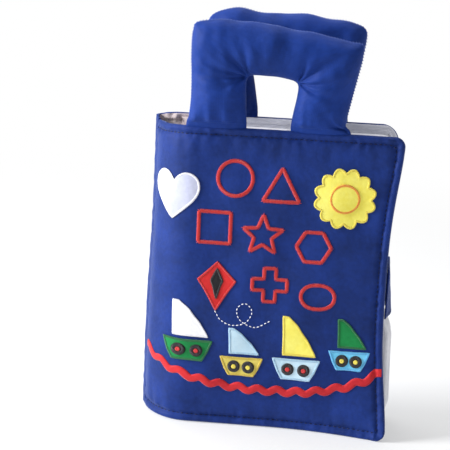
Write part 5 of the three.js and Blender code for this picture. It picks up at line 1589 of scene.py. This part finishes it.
def plated_zinc():
    """Brushing gives the metal long dull streaks, so its glints are drawn out and not sharp."""
    metal = {"Base Color": linear("c4c4c8"), "Metallic": 1.0}
    material, tree, shader = new_material("zinc alloy, nickel plated, satin", metal)
    where = add(tree, "ShaderNodeTexCoord").outputs["Object"]
    stretched = add(tree, "ShaderNodeMapping", {"Vector": where, "Scale": (1, 1, BRUSH_STRETCH)}).outputs[0]
    brushed = blotches(tree, stretched, BRUSH_SIZE)
    dull = add(tree, "ShaderNodeMapRange", {"Value": brushed, "To Min": 0.24, "To Max": 0.42}).outputs[0]
    tree.links.new(dull, shader.inputs["Roughness"])
    height = {"Height": brushed, "Strength": 0.3, "Distance": 0.05 * MM}
    scratch = add(tree, "ShaderNodeBump", height).outputs[0]
    tree.links.new(scratch, shader.inputs["Normal"])
    return material


PLASTIC = {
    "red": moulded_plastic("ABS, moulded, red", ("b81a1c", "d22a28"), 0.4),
    "yellow": moulded_plastic("ABS, moulded, yellow", ("ecd83c", "f7ea62"), 0.35),
    "green": moulded_plastic("ABS, moulded, green", ("0a6430", "128444"), 0.4),
}
ZINC = plated_zinc()
HARD_PIECES = {
    "hour_hand": PLASTIC["red"], "minute_hand": PLASTIC["green"], "clock_stud": ZINC, "zip_slider": ZINC,
    "zip_post": ZINC, "zip_pull": ZINC, "bead_1": PLASTIC["red"], "bead_2": PLASTIC["yellow"],
    "bead_3": PLASTIC["green"],
}
for node, material in HARD_PIECES.items():
    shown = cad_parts[node]
    shown.data.materials.clear()
    shown.data.materials.append(material)
print("hard pieces", len(HARD_PIECES))

# %% [markdown]
# ## Floor and light
# A pale table that fades into a white background keeps the soft shadow. A plain white plane would show its
# far edge. A large soft light stands at the left, in front, with a weaker one at the right and one above.

# %% Floor
FLOOR_SIZE, FADE_START, FADE_END = 6.0, 0.3, 1.2


def make_floor():
    """Matt paper round the book, which turns into plain white light further out."""
    paper = {"Roughness": 0.9, "Base Color": linear("f4f5f6"), "Specular IOR Level": 0.1}
    material, tree, shader = new_material("matt paper, white", paper)
    where = add(tree, "ShaderNodeTexCoord").outputs["Object"]
    distance = add(tree, "ShaderNodeVectorMath", {0: where}, operation="LENGTH").outputs["Value"]
    fade = {"Value": distance, "From Min": FADE_START, "From Max": FADE_END, "To Min": 0.35}
    far = add(tree, "ShaderNodeMapRange", fade, interpolation_type="SMOOTHSTEP").outputs[0]
    glow = add(tree, "ShaderNodeEmission", {"Color": (1, 1, 1, 1), "Strength": 1.0}).outputs[0]
    mixed = add(tree, "ShaderNodeMixShader", {0: far, 1: shader.outputs[0], 2: glow}).outputs[0]
    tree.links.new(mixed, tree.nodes["Material Output"].inputs["Surface"])
    mesh = bpy.data.meshes.new("floor")
    corners = np.array([(-1, -1, 0), (1, -1, 0), (1, 1, 0), (-1, 1, 0)]) * FLOOR_SIZE / 2
    mesh.from_pydata(corners.tolist(), [], [(0, 1, 2, 3)])
    mesh.materials.append(material)
    floor = bpy.data.objects.new("floor", mesh)
    bpy.context.collection.objects.link(floor)


make_floor()
print("floor", FLOOR_SIZE, "m wide")

# %% World and lights


def make_world():
    """White to the camera, and a weaker white for the light that it sheds."""
    world = bpy.data.worlds.new("studio")
    bpy.context.scene.world = world
    world.use_nodes = True
    tree = world.node_tree
    back = tree.nodes["Background"]
    rays = add(tree, "ShaderNodeLightPath").outputs["Is Camera Ray"]
    strength = add(tree, "ShaderNodeMapRange", {"Value": rays, "To Min": 0.42, "To Max": 1.0}).outputs[0]
    tree.links.new(strength, back.inputs["Strength"])
    back.inputs["Color"].default_value = (1, 1, 1, 1)


def soft_light(name, place, aim, size, power):
    """A round area light. A wide one gives a soft edge to the shadow."""
    data = bpy.data.lights.new(name, "AREA")
    data.shape, data.size, data.energy = "DISK", size, power
    light = bpy.data.objects.new(name, data)
    bpy.context.collection.objects.link(light)
    light.location = place
    light.rotation_euler = (Vector(aim) - Vector(place)).to_track_quat("-Z", "Y").to_euler()
    print(name, power, "W")


make_world()
soft_light("key light", (-1.8, -0.42, 0.86), (0, 0, 0.18), 0.85, 64)
soft_light("fill light", (1.3, -1.3, 0.8), (0, 0, 0.18), 1.0, 1.5)
soft_light("top light", (-0.2, 0.4, 1.6), (0, 0, 0.15), 1.0, 9)
